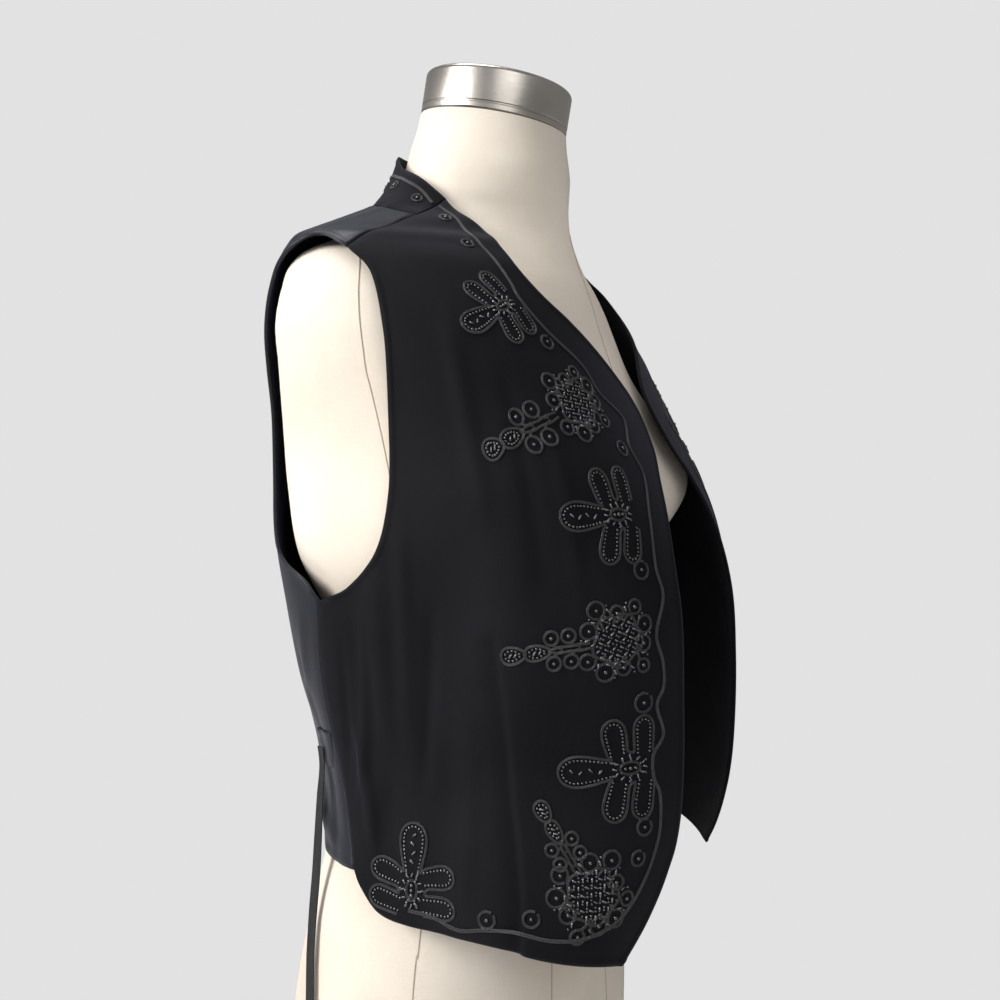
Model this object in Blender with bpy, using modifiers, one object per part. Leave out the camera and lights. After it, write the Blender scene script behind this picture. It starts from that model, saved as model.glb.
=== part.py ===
"""An embroidered folk vest on a limbless dress form. Metres, +Z up; the form faces -Y and the wearer's right is -X.

Both surfaces are stacks of horizontal sections. A section is two half super-ellipses that meet at the widest
line, so a point on a surface is named by its angle round the body (0 in front, 90 at the wearer's right,
180 at the centre back) and its height. The cloth pieces are patches between edges drawn in those two numbers.
"""

import math
from collections import namedtuple

import bpy
import bmesh
import numpy as np

# Driving dimensions
GAP = 0.0003  # between pieces that meet
WALL = 0.0020  # wool and satin cloth with their turnings
TRIM_CLEAR = 0.0018  # under trim that lies on a faceted panel
BELT_WALL = 0.0010
BELT_WIDTH = 0.0240
RIBBON_WALL = 0.0008
RIBBON_WIDTH = 0.0070
BRAID_WIDTH = 0.0028
BRAID_HEIGHT = 0.0012
BRAID_CROWN = 0.6  # width of a braid's top against its foot
NECK_TILT = math.radians(10.0)  # the neck's top leans forward
NECK_TOP = 0.7460
NECK_SET = 0.0055  # the neck top's middle is this far behind the neck's own line
CAP_RADIUS = 0.0556
CAP_HEIGHT = 0.0310
CAP_ROUND = 0.0035
FORM_AROUND = 44

# Sections: side is the half width, front and back are distances from the neck's own line, widest is
# where the half width is measured, and the powers make a half rounder (2) or squarer (above 2).
Section = namedtuple("Section", "z side front back widest front_power back_power")

FORM = [
    Section(0.000, 0.154, 0.080, 0.133, 0.027, 2.1, 2.2),
    Section(0.050, 0.158, 0.084, 0.138, 0.027, 2.1, 2.2),
    Section(0.100, 0.158, 0.085, 0.136, 0.027, 2.1, 2.2),
    Section(0.160, 0.151, 0.081, 0.127, 0.025, 2.1, 2.2),
    Section(0.220, 0.138, 0.075, 0.113, 0.021, 2.1, 2.2),
    Section(0.260, 0.127, 0.072, 0.103, 0.018, 2.1, 2.2),
    Section(0.300, 0.121, 0.071, 0.098, 0.016, 2.1, 2.2),
    Section(0.340, 0.124, 0.075, 0.102, 0.017, 2.1, 2.2),
    Section(0.380, 0.132, 0.083, 0.109, 0.020, 2.1, 2.2),
    Section(0.430, 0.144, 0.097, 0.127, 0.024, 2.4, 2.7),
    Section(0.475, 0.149, 0.108, 0.132, 0.028, 2.6, 2.8),
    Section(0.520, 0.154, 0.101, 0.132, 0.034, 2.4, 2.8),
    Section(0.560, 0.162, 0.089, 0.128, 0.040, 2.0, 2.8),
    Section(0.590, 0.168, 0.079, 0.1235, 0.045, 1.9, 2.8),
    Section(0.610, 0.169, 0.073, 0.118, 0.047, 1.75, 2.6),
    Section(0.624, 0.166, 0.068, 0.112, 0.049, 1.6, 2.5),
    Section(0.634, 0.156, 0.064, 0.105, 0.050, 1.45, 2.4),
    Section(0.644, 0.135, 0.061, 0.096, 0.049, 1.35, 2.1),
    Section(0.654, 0.113, 0.058, 0.090, 0.046, 1.3, 2.0),
    Section(0.664, 0.093, 0.056, 0.085, 0.042, 1.3, 2.0),
    Section(0.676, 0.076, 0.055, 0.081, 0.036, 1.4, 2.0),
    Section(0.690, 0.066, 0.054, 0.077, 0.028, 1.7, 2.0),
    Section(0.705, 0.061, 0.0530, 0.074, 0.021, 2.0, 2.0),
    Section(0.722, 0.058, 0.0515, 0.069, 0.013, 2.0, 2.0),
    Section(0.737, 0.0553, 0.0500, 0.063, 0.007, 2.0, 2.0),
    Section(0.746, 0.0550, 0.0495, 0.0605, 0.0055, 2.0, 2.0),
]

VEST = [
    Section(0.170, 0.158, 0.143, 0.124, 0.020, 3.2, 2.0),
    Section(0.210, 0.155, 0.153, 0.117, 0.018, 3.2, 2.0),
    Section(0.250, 0.150, 0.163, 0.111, 0.016, 3.0, 2.0),
    Section(0.300, 0.143, 0.172, 0.115, 0.016, 2.8, 2.3),
    Section(0.350, 0.146, 0.170, 0.124, 0.018, 3.0, 2.8),
    Section(0.400, 0.151, 0.164, 0.132, 0.022, 3.2, 2.9),
    Section(0.440, 0.154, 0.153, 0.137, 0.026, 3.4, 3.0),
    Section(0.480, 0.156, 0.137, 0.138, 0.030, 3.6, 3.0),
    Section(0.520, 0.160, 0.118, 0.137, 0.036, 3.2, 3.0),
    Section(0.560, 0.168, 0.098, 0.133, 0.042, 2.9, 3.0),
    Section(0.590, 0.173, 0.087, 0.128, 0.047, 2.4, 2.9),
    Section(0.612, 0.174, 0.080, 0.1225, 0.050, 2.0, 2.7),
    Section(0.627, 0.173, 0.075, 0.117, 0.052, 1.75, 2.5),
    Section(0.636, 0.170, 0.072, 0.111, 0.053, 1.55, 2.4),
    Section(0.643, 0.163, 0.070, 0.107, 0.053, 1.45, 2.3),
    Section(0.650, 0.147, 0.068, 0.103, 0.052, 1.3, 2.2),
    Section(0.660, 0.123, 0.065, 0.097, 0.049, 1.3, 2.1),
    Section(0.670, 0.101, 0.063, 0.092, 0.045, 1.2, 2.0),
    Section(0.682, 0.084, 0.062, 0.087, 0.038, 1.25, 2.0),
    Section(0.695, 0.074, 0.061, 0.083, 0.031, 1.6, 2.0),
    Section(0.710, 0.068, 0.060, 0.080, 0.022, 2.0, 2.0),
    Section(0.735, 0.064, 0.060, 0.073, 0.012, 2.0, 2.0),
]

BUST = dict(angle=35.0, z=0.478, rise=0.027, spread=22.0, height=0.055)

# Edges of the pieces on the vest's surface, as height and angle, or height and distance from the middle.
Edge = namedtuple("Edge", "z angle")
Opening = namedtuple("Opening", "z x")

SIDE_SEAM = [
    Edge(0.2355, 96.0),
    Edge(0.270, 101.0),
    Edge(0.313, 107.0),
    Edge(0.360, 107.5),
    Edge(0.405, 104.5),
]
FRONT_ARMHOLE = [
    Edge(0.4155, 95.0),
    Edge(0.4380, 85.5),
    Edge(0.4750, 80.5),
    Edge(0.5224, 77.4),
    Edge(0.5753, 75.0),
    Edge(0.6122, 76.4),
    Edge(0.6305, 81.5),
]
BACK_ARMHOLE = [
    Edge(0.4185, 108.5),
    Edge(0.4290, 117.0),
    Edge(0.4420, 125.0),
    Edge(0.4800, 130.0),
    Edge(0.5300, 126.0),
    Edge(0.5815, 113.5),
    Edge(0.6166, 104.0),
    Edge(0.6310, 96.5),
    Edge(0.6395, 88.5),
    Edge(0.6305, 81.5),
]
SHOULDER_SEAM = [
    Edge(0.6305, 81.5),
    Edge(0.6435, 78.0),
    Edge(0.6545, 75.0),
    Edge(0.6630, 72.0),
]
BAND_END = [
    Edge(0.6630, 72.0),
    Edge(0.6780, 66.0),
]
FRONT_OPENING = [
    Opening(0.190, 0.106),
    Opening(0.215, 0.091),
    Opening(0.240, 0.080),
    Opening(0.270, 0.074),
    Opening(0.350, 0.075),
    Opening(0.400, 0.071),
    Opening(0.440, 0.063),
    Opening(0.480, 0.042),
    Opening(0.505, 0.023),
    Opening(0.534, 0.017),
    Opening(0.556, 0.030),
    Opening(0.587, 0.066),
    Opening(0.6035, 0.083),
    Opening(0.6220, 0.090),
    Opening(0.6377, 0.086),
    Opening(0.6550, 0.0765),
]
FRONT_HEM = [
    Edge(0.2355, 96.0),
    Edge(0.2250, 92.5),
    Edge(0.2140, 87.5),
    Edge(0.2105, 80.0),
    Edge(0.2095, 70.0),
    Edge(0.2070, 60.0),
    Edge(0.2010, 52.0),
]
BACK_HEM = [
    Edge(0.2355, 96.0),
    Edge(0.2350, 112.0),
    Edge(0.2420, 122.0),
    Edge(0.2560, 134.0),
    Edge(0.2650, 150.0),
    Edge(0.2690, 180.0),
]
BAND_SEAM = [
    Edge(0.6630, 72.0),
    Edge(0.6720, 93.0),
    Edge(0.6840, 120.0),
    Edge(0.6920, 150.0),
    Edge(0.6950, 180.0),
]
BACK_NECK = [
    Edge(0.6780, 66.0),
    Edge(0.6937, 86.0),
    Edge(0.7038, 106.0),
    Edge(0.7230, 146.0),
    Edge(0.7280, 180.0),
]

BORDER = [
    Edge(0.6705, 65.8),
    Edge(0.6590, 57.0),
    Edge(0.6450, 52.0),
    Edge(0.6290, 47.8),
    Edge(0.6050, 44.0),
    Edge(0.5800, 36.5),
    Edge(0.5580, 28.5),
    Edge(0.5360, 23.5),
    Edge(0.5150, 21.0),
    Edge(0.4950, 21.5),
    Edge(0.4650, 24.8),
    Edge(0.4350, 27.0),
    Edge(0.4000, 28.5),
    Edge(0.3500, 29.0),
    Edge(0.3000, 29.0),
    Edge(0.2620, 29.5),
    Edge(0.2400, 32.5),
    Edge(0.2235, 38.5),
    Edge(0.2175, 47.0),
    Edge(0.2185, 58.0),
    Edge(0.2195, 68.0),
    Edge(0.2215, 80.0),
    Edge(0.2290, 88.0),
]
BAND_BORDER = [
    Edge(0.6745, 70.5),
    Edge(0.6895, 90.0),
    Edge(0.7000, 116.0),
    Edge(0.7085, 148.0),
    Edge(0.7125, 180.0),
]
HALF_BELT = [
    Edge(0.3045, 108.2),
    Edge(0.3037, 112.5),
    Edge(0.3025, 117.0),
]

# The ribbon's middle line, from its sewn end on the belt down past the hip, and its turn about that line.
# On the belt x is the angle and y is worked out.
Hang = namedtuple("Hang", "z x y turn")

RIBBON = [
    Hang(0.3020, 115.5, 0.0000, 0.0),
    Hang(0.2920, 115.2, 0.0000, 0.0),
    Hang(0.2700, 0.1278, 0.0741, 2.0),
    Hang(0.2450, 0.1280, 0.0754, 6.0),
    Hang(0.2150, 0.1280, 0.0774, 10.0),
    Hang(0.1930, 0.1316, 0.0772, 14.0),
    Hang(0.1710, 0.1395, 0.0735, 18.0),
    Hang(0.1430, 0.1480, 0.0682, 22.0),
    Hang(0.1200, 0.1527, 0.0656, 24.0),
    Hang(0.0900, 0.1550, 0.0645, 25.0),
    Hang(0.0550, 0.1555, 0.0645, 24.0),
    Hang(0.0280, 0.1557, 0.0645, 22.0),
]

# Soft folds of the cloth: a ridge runs from its top to its bottom point, raised by its height.
Fold = namedtuple("Fold", "top_z top_angle bottom_z bottom_angle height spread")

FOLDS = [
    Fold(0.480, 84.0, 0.270, 92.0, 0.0035, 4.0),
    Fold(0.440, 97.0, 0.240, 88.0, -0.0030, 4.0),
    Fold(0.520, 52.0, 0.240, 60.0, 0.0030, 7.0),
    Fold(0.460, 68.0, 0.215, 74.0, -0.0025, 6.0),
    Fold(0.300, 150.0, 0.245, 108.0, 0.0030, 7.0),
    Fold(0.560, 135.0, 0.320, 142.0, 0.0030, 9.0),
]


def hermite(heights, values, at):
    """A smooth curve through the rows' values, read at the heights asked for."""
    heights = np.asarray(heights, float)
    values = np.asarray(values, float)
    steps = np.diff(heights)
    rises = np.diff(values) / steps
    slopes = np.empty_like(values)
    slopes[1:-1] = (rises[:-1] * steps[1:] + rises[1:] * steps[:-1]) / (steps[:-1] + steps[1:])
    slopes[0] = rises[0]
    slopes[-1] = rises[-1]
    at = np.clip(at, heights[0], heights[-1])
    row = np.clip(np.searchsorted(heights, at, side="right") - 1, 0, len(steps) - 1)
    step = steps[row]
    part = (at - heights[row]) / step
    rest = 1.0 - part
    start = (1 + 2 * part) * rest**2 * values[row] + part * rest**2 * step * slopes[row]
    return start + part**2 * (3 - 2 * part) * values[row + 1] - part**2 * rest * step * slopes[row + 1]


def section_at(table, z):
    heights = [row.z for row in table]
    columns = [hermite(heights, [row[i] for row in table], z) for i in range(1, len(Section._fields))]
    return Section(z, *columns)


def bust(angle, z, rise):
    """Two soft mounds on the front, with a smooth bridge between them."""
    across = (np.abs(angle) - BUST["angle"]) / BUST["spread"]
    up = (z - BUST["z"]) / BUST["height"]
    return rise * np.exp(-(across**2) - up**2)


def radius(row, angle):
    turn = np.radians(angle)
    aside = np.abs(np.sin(turn)) / row.side
    ahead = np.cos(turn)
    depth = np.where(ahead > 0, row.front + row.widest, row.back - row.widest)
    power = np.where(ahead > 0, row.front_power, row.back_power)
    return (aside**power + (np.abs(ahead) / depth) ** power) ** (-1 / power)


def place(row, angle, reach):
    turn = np.radians(angle)
    return np.stack([-reach * np.sin(turn), row.widest - reach * np.cos(turn), row.z + 0 * reach], axis=-1)


def form_points(angle, z):
    row = section_at(FORM, z)
    return place(row, angle, radius(row, angle) + bust(angle, z, BUST["rise"]))


def fold_rise(angle, z):
    """How far the folds push the cloth out, the same on both halves."""
    angle = np.abs(angle)
    rise = 0 * z
    for fold in FOLDS:
        along = (z - fold.bottom_z) / (fold.top_z - fold.bottom_z)
        middle = fold.bottom_angle + along * (fold.top_angle - fold.bottom_angle)
        ends = 1 / (1 + np.exp((along - 0.85) * 14)) / (1 + np.exp((-0.02 - along) * 14))
        rise = rise + fold.height * ends * np.exp(-(((angle - middle) / fold.spread) ** 2))
    return rise


def vest_sheet(angle, z):
    row = section_at(VEST, z)
    return place(row, angle, radius(row, angle) + fold_rise(angle, z))


def vest_points(angle, z, out=0.0):
    """Points of the vest's middle surface, moved out along its normal."""
    angle = np.asarray(angle, float)
    z = np.asarray(z, float)
    points = vest_sheet(angle, z)
    if np.ndim(out) == 0 and out == 0:
        return points
    turned = vest_sheet(angle + 0.2, z) - vest_sheet(angle - 0.2, z)
    raised = vest_sheet(angle, z + 0.0004) - vest_sheet(angle, z - 0.0004)
    normal = np.cross(raised, turned)
    normal = normal / np.linalg.norm(normal, axis=-1, keepdims=True)
    return points + normal * np.expand_dims(np.broadcast_to(out, z.shape), -1)


def angle_of(z, x):
    """The angle at which the vest's front section is at this distance from the middle."""
    low = np.zeros_like(z)
    high = np.full_like(z, 85.0)
    for _ in range(40):
        middle = (low + high) / 2
        wide = -vest_sheet(middle, z)[..., 0] < x
        low = np.where(wide, middle, low)
        high = np.where(wide, high, middle)
    return (low + high) / 2


def resample(edge, count):
    """An edge as count points, evenly spaced along the surface, on a smooth curve through its rows."""
    rows = np.array([(row.z, row.angle) for row in edge], float)
    knots = np.arange(len(rows))
    fine = np.linspace(0, len(rows) - 1, 40 * len(rows))
    z = hermite(knots, rows[:, 0], fine)
    angle = hermite(knots, rows[:, 1], fine)
    steps = np.linalg.norm(np.diff(vest_points(angle, z), axis=0), axis=1)
    length = np.concatenate([[0], np.cumsum(steps)])
    at = np.linspace(0, length[-1], count)
    return np.stack([np.interp(at, length, z), np.interp(at, length, angle)], axis=-1)


def joined(*edges):
    """Edges that follow one another, without the repeated corner."""
    rows = list(edges[0])
    for edge in edges[1:]:
        rows += edge[1:] if edge[0][0] == rows[-1][0] else edge
    return rows


def drape(points):
    """Heights and angles of the vest's surface beyond the given points, seen from inside the body.

    Below the arms the line of sight is level; over the shoulders it rises from a line between them.
    """
    high = np.clip((points[..., 2] - 0.54) / 0.06, 0, 1)
    eye = np.zeros_like(points)
    eye[..., 0] = 0.75 * high * high * (3 - 2 * high) * points[..., 0]
    eye[..., 2] = np.minimum(points[..., 2], 0.585)
    eye[..., 1] = section_at(VEST, eye[..., 2]).widest
    sight = points - eye
    sight = sight / np.linalg.norm(sight, axis=-1, keepdims=True)
    near = np.zeros(points.shape[:-1])
    far = np.full(points.shape[:-1], 0.35)
    for _ in range(40):
        middle = (near + far) / 2
        probe = eye + sight * middle[..., None]
        row = section_at(VEST, probe[..., 2])
        angle = np.degrees(np.arctan2(-probe[..., 0], row.widest - probe[..., 1]))
        reach = np.hypot(probe[..., 0], row.widest - probe[..., 1])
        inside = reach < radius(row, angle) + fold_rise(angle, probe[..., 2])
        near = np.where(inside, middle, near)
        far = np.where(inside, far, middle)
    return probe[..., 2], angle


def patch(bottom, top, left, right):
    """The grid of heights and angles between four edges that meet at their corners."""
    u = np.linspace(0, 1, len(bottom))[None, :, None]
    v = np.linspace(0, 1, len(left))[:, None, None]
    bottom_3d, top_3d, left_3d, right_3d = (vest_points(e[:, 1], e[:, 0]) for e in (bottom, top, left, right))
    across = (1 - v) * bottom_3d[None] + v * top_3d[None]
    along = (1 - u) * left_3d[:, None] + u * right_3d[:, None]
    lower = (1 - u) * bottom_3d[0] + u * bottom_3d[-1]
    upper = (1 - u) * top_3d[0] + u * top_3d[-1]
    z, angle = drape(across + along - (1 - v) * lower - v * upper)
    for grid, column in ((z, 0), (angle, 1)):
        grid[0] = bottom[:, column]
        grid[-1] = top[:, column]
        grid[:, 0] = left[:, column]
        grid[:, -1] = right[:, column]
    return z, angle


def even_cells(z, angle, rounds):
    """The same grid with its inner points moved until no cell folds over another; its edges stay."""
    p = np.stack([angle * EVEN_SCALE, z], axis=-1)
    for _ in range(rounds):
        a = (p[1:-1, 2:] - p[1:-1, :-2]) / 2
        b = (p[2:, 1:-1] - p[:-2, 1:-1]) / 2
        aa, ab, bb = ((m * n).sum(-1, keepdims=True) for m, n in ((a, a), (a, b), (b, b)))
        cross = p[2:, 2:] - p[2:, :-2] - p[:-2, 2:] + p[:-2, :-2]
        along = bb * (p[1:-1, 2:] + p[1:-1, :-2]) + aa * (p[2:, 1:-1] + p[:-2, 1:-1])
        p[1:-1, 1:-1] = (along - ab * cross / 2) / (2 * (aa + bb))
    return p[..., 1], p[..., 0] / EVEN_SCALE


def finish(name, colour, roughness, metallic=0.0):
    material = bpy.data.materials.new(name)
    material.use_nodes = True
    surface = material.node_tree.nodes["Principled BSDF"]
    surface.inputs["Base Color"].default_value = (*colour, 1.0)
    surface.inputs["Roughness"].default_value = roughness
    surface.inputs["Metallic"].default_value = metallic
    return material


def add_object(name, mesh, material):
    obj = bpy.data.objects.new(name, mesh)
    obj.data.materials.append(material)
    parts.objects.link(obj)
    return obj


def add_grid(name, points, material):
    """An open surface from a grid of points."""
    rows, columns = points.shape[:2]
    index = np.arange(rows * columns).reshape(rows, columns)
    faces = np.stack([index[:-1, :-1], index[:-1, 1:], index[1:, 1:], index[1:, :-1]], axis=-1)
    mesh = bpy.data.meshes.new(name)
    mesh.from_pydata(points.reshape(-1, 3).tolist(), [], faces.reshape(-1, 4).tolist())
    mesh.shade_smooth()
    return add_object(name, mesh, material)


def add_cloth(name, points, wall, material):
    obj = add_grid(name, points, material)
    shell = obj.modifiers.new("wall", "SOLIDIFY")
    shell.thickness = wall
    shell.offset = 0.0
    shell.use_even_offset = True
    return obj


def add_loft(name, rings, material):
    """A closed solid through rings of equal count, with flat ends."""
    mesh = bpy.data.meshes.new(name)
    work = bmesh.new()
    loops = [[work.verts.new(point) for point in ring] for ring in rings]
    around = len(loops[0])
    for low, high in zip(loops, loops[1:]):
        for i in range(around):
            j = (i + 1) % around
            work.faces.new((low[i], low[j], high[j], high[i]))
    work.faces.new(loops[0])
    work.faces.new(loops[-1])
    bmesh.ops.recalc_face_normals(work, faces=work.faces)
    work.to_mesh(mesh)
    work.free()
    mesh.shade_smooth()
    mesh.set_sharp_from_angle(angle=math.radians(50))
    return add_object(name, mesh, material)


def unit(vectors):
    return vectors / np.linalg.norm(vectors, axis=-1, keepdims=True)


def add_strip(name, middle, normal, width, low, high, crown, material):
    """A flat trim along a line of points: its foot is low above the line and its narrower top is high."""
    along = unit(np.gradient(middle, axis=0))
    aside = unit(np.cross(normal, along)) * width / 2
    foot = middle + normal * low
    top = middle + normal * high
    rings = np.stack([foot - aside, foot + aside, top + aside * crown, top - aside * crown], axis=1)
    return add_loft(name, rings, material)


def mirrored(points):
    return points * np.array([-1.0, 1.0, 1.0])


def sides(name, build):
    """The same piece on the wearer's right and, mirrored, on the left."""
    build(name + "_right", np.array([1.0, 1.0, 1.0]))
    build(name + "_left", np.array([-1.0, 1.0, 1.0]))


def both_sides(points):
    """A right half grid and its mirror, joined at the centre back."""
    return np.concatenate([points, mirrored(points)[:, -2::-1]], axis=1)


def shifted(edge, degrees=0.0, height=0.0):
    return edge + np.array([height, degrees])


def opening_edge():
    z = np.array([row.z for row in FRONT_OPENING])
    x = np.array([row.x for row in FRONT_OPENING])
    rows = [Edge(a, b) for a, b in zip(z, angle_of(z, x))]
    return rows + [BAND_END[-1]]


SIDE_POINTS = 10
ARMHOLE_POINTS = 18
SHOULDER_POINTS = 12
BAND_POINTS = 4
NECK_POINTS = 12
# metres to a degree round the chest, and the rounds that even the back's cells
EVEN_SCALE = 0.0026
EVEN_ROUNDS = 12
BORDER_POINTS = 90
BAND_BORDER_POINTS = 24
BELT_POINTS = 7
BELT_ROWS = 4
RIBBON_POINTS = 26
RIBBON_FACING = 62.0  # the belt's end faces this many degrees to the side of straight back
SEAM_TURN = math.degrees(GAP / 2 / 0.15)  # half the gap at a seam 0.15 m from the middle line
SHOULDER_DROP = GAP / 2


def front_grid():
    side = resample(SIDE_SEAM, SIDE_POINTS)
    armhole = resample(joined(SIDE_SEAM[-1:], FRONT_ARMHOLE), ARMHOLE_POINTS)
    left = np.concatenate([shifted(side, -SEAM_TURN), armhole[1:]])
    shoulder = resample(SHOULDER_SEAM, SHOULDER_POINTS)
    band = resample(BAND_END, BAND_POINTS)
    top = shifted(np.concatenate([shoulder, band[1:]]), -2 * SEAM_TURN, -SHOULDER_DROP)
    opening = opening_edge()
    right = resample(opening, len(left))
    bottom = resample(joined(FRONT_HEM, opening[:1]), len(top))
    left[-1] = top[0]
    left[0] = bottom[0] = shifted(bottom[0], -SEAM_TURN)
    right[-1] = top[-1]
    right[0] = bottom[-1]
    return patch(bottom, top, left, right)


def back_grid():
    side = resample(SIDE_SEAM, SIDE_POINTS)
    armhole = resample(joined(SIDE_SEAM[-1:], BACK_ARMHOLE), ARMHOLE_POINTS)
    left = np.concatenate([shifted(side, SEAM_TURN), armhole[1:]])
    shoulder = shifted(resample(SHOULDER_SEAM, SHOULDER_POINTS), 2 * SEAM_TURN, SHOULDER_DROP)
    neck = shifted(resample(BAND_SEAM, NECK_POINTS), 0.0, -2 * GAP)
    shoulder[-1] = shifted(shoulder[-1], 0.0, -2 * GAP)
    top = np.concatenate([shoulder, neck[1:]])
    bottom = resample(BACK_HEM, len(top))
    right = resample([BACK_HEM[-1], BAND_SEAM[-1]], len(left))
    left[-1] = top[0]
    left[0] = bottom[0] = shifted(bottom[0], SEAM_TURN)
    right[-1] = top[-1]
    right[0] = bottom[-1]
    return even_cells(*patch(bottom, top, left, right), EVEN_ROUNDS)


def band_grid():
    end = shifted(resample(BAND_END, BAND_POINTS), 2 * SEAM_TURN, SHOULDER_DROP)
    seam = resample(BAND_SEAM, NECK_POINTS)
    edge = resample(BACK_NECK, NECK_POINTS)
    middle = resample([BAND_SEAM[-1], BACK_NECK[-1]], BAND_POINTS)
    end[0] = seam[0] = shifted(seam[0], 2 * SEAM_TURN, SHOULDER_DROP)
    end[-1] = edge[0] = shifted(edge[0], 2 * SEAM_TURN, SHOULDER_DROP)
    middle[0] = seam[-1]
    middle[-1] = edge[-1]
    return patch(seam, edge, end, middle)


def surface_line(edge, count):
    """Points and outward normals of the vest along an edge."""
    rows = resample(edge, count)
    middle = vest_points(rows[:, 1], rows[:, 0])
    return middle, unit(vest_points(rows[:, 1], rows[:, 0], WALL) - middle)


def add_border(name, side):
    middle, normal = surface_line(BORDER, BORDER_POINTS)
    foot = WALL / 2 + TRIM_CLEAR
    top = foot + BRAID_HEIGHT
    return add_strip(name, middle * side, normal * side, BRAID_WIDTH, foot, top, BRAID_CROWN, braid)


def add_band_border():
    middle, normal = surface_line(BAND_BORDER, BAND_BORDER_POINTS)
    back = np.array([-1.0, 1.0, 1.0])
    middle = np.concatenate([middle, (middle * back)[-2::-1]])
    normal = np.concatenate([normal, (normal * back)[-2::-1]])
    foot = WALL / 2 + TRIM_CLEAR
    top = foot + BRAID_HEIGHT
    return add_strip("border_band", middle, normal, BRAID_WIDTH, foot, top, BRAID_CROWN, braid)


def add_belt(name, side):
    rows = resample(HALF_BELT, BELT_POINTS)
    heights = np.linspace(-BELT_WIDTH / 2, BELT_WIDTH / 2, BELT_ROWS)[:, None]
    out = WALL / 2 + TRIM_CLEAR + BELT_WALL / 2
    points = vest_points(rows[None, :, 1] + 0 * heights, rows[None, :, 0] + heights, out) * side
    return add_cloth(name, points if side[0] > 0 else points[:, ::-1], BELT_WALL, satin)


def on_belt(row):
    """A row of the ribbon that lies on the belt's outer face, with its angle turned into a place."""
    out = WALL / 2 + 2 * TRIM_CLEAR + BELT_WALL + RIBBON_WALL / 2
    spot = vest_points(np.array([row.x]), np.array([row.z]), out)[0]
    return row._replace(x=-spot[0], y=spot[1])


def add_tie(name, side):
    """A ribbon sewn on the belt's end, hanging free past the hip."""
    rows = [row if row.y else on_belt(row) for row in RIBBON]
    heights = np.array([row.z for row in rows[::-1]])
    z = np.linspace(heights[-1], heights[0], RIBBON_POINTS)
    x, y, turn = (hermite(heights, [row[i] for row in rows[::-1]], z) for i in (1, 2, 3))
    middle = np.stack([-x, y, z], axis=-1)
    facing = np.radians(turn + RIBBON_FACING)
    normal = np.stack([-np.sin(facing), np.cos(facing), 0 * z], axis=-1)
    half = RIBBON_WALL / 2
    return add_strip(name, middle * side, normal * side, RIBBON_WIDTH, -half, half, 1.0, ribbon)


def neck_lean(points, start=0.700, end=NECK_TOP):
    """Turns the top of the neck forward, more and more from start to end."""
    share = np.clip((points[..., 2] - start) / (end - start), 0, 1)
    share = share * share * (3 - 2 * share)
    leaned = points.copy()
    leaned[..., 2] += share * points[..., 1] * math.tan(NECK_TILT)
    return leaned


def build_form():
    heights = np.concatenate(
        [
            np.arange(0.0, 0.58, 0.029),
            np.arange(0.58, 0.62, 0.010),
            np.arange(0.62, 0.70, 0.0065),
            np.linspace(0.70, NECK_TOP, 5),
        ]
    )
    angles = np.linspace(0, 360, FORM_AROUND, endpoint=False)
    angles = np.where(angles > 180, angles - 360, angles)
    rings = [neck_lean(form_points(angles, np.full(FORM_AROUND, z))) for z in heights]
    return add_loft("form_torso", rings, linen)


def build_neck_cap():
    """A turned disc with a rounded upper rim, square to the leaning neck."""
    corner = [math.radians(a) for a in (90, 67.5, 45, 22.5, 0)]
    inner = CAP_RADIUS - CAP_ROUND
    shoulder = CAP_HEIGHT - CAP_ROUND
    profile = [(0.0, CAP_HEIGHT)]
    profile += [(inner + CAP_ROUND * math.cos(a), shoulder + CAP_ROUND * math.sin(a)) for a in corner]
    profile += [(CAP_RADIUS, 0.0), (0.0, 0.0)]
    mesh = bpy.data.meshes.new("neck_cap")
    points = [(x, 0.0, z) for x, z in profile]
    mesh.from_pydata(points, [(i, i + 1) for i in range(len(points) - 1)], [])
    cap = add_object("neck_cap", mesh, nickel)
    turn = cap.modifiers.new("turn", "SCREW")
    turn.steps = turn.render_steps = 48
    turn.use_merge_vertices = True
    turn.merge_threshold = 0.0001
    turn.use_smooth_shade = True
    cap.rotation_euler = (NECK_TILT, 0.0, 0.0)
    cap.location = (0.0, NECK_SET, NECK_TOP + NECK_SET * math.tan(NECK_TILT) + 2 * GAP)
    return cap


for leftover in list(bpy.data.objects):
    bpy.data.objects.remove(leftover)

parts = bpy.data.collections.new("embroidered_folk_vest")
bpy.context.scene.collection.children.link(parts)

linen = finish("cream_linen", (0.80, 0.72, 0.62), 0.85)
nickel = finish("brushed_nickel", (0.62, 0.60, 0.57), 0.30, 1.0)
wool = finish("black_wool", (0.012, 0.012, 0.016), 0.80)
satin = finish("black_satin", (0.020, 0.022, 0.032), 0.45)
ribbon = finish("black_ribbon", (0.008, 0.008, 0.009), 0.50)
braid = finish("black_braid", (0.010, 0.010, 0.011), 0.55)

build_form()
build_neck_cap()

front = vest_points(*front_grid()[::-1])
add_cloth("front_right", front, WALL, wool)
add_cloth("front_left", mirrored(front)[:, ::-1], WALL, wool)
add_cloth("back", both_sides(vest_points(*back_grid()[::-1])), WALL, satin)
add_cloth("neck_band", both_sides(vest_points(*band_grid()[::-1])), WALL, wool)
sides("belt", add_belt)
sides("tie", add_tie)
sides("border", add_border)
add_band_border()
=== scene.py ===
import math

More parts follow.
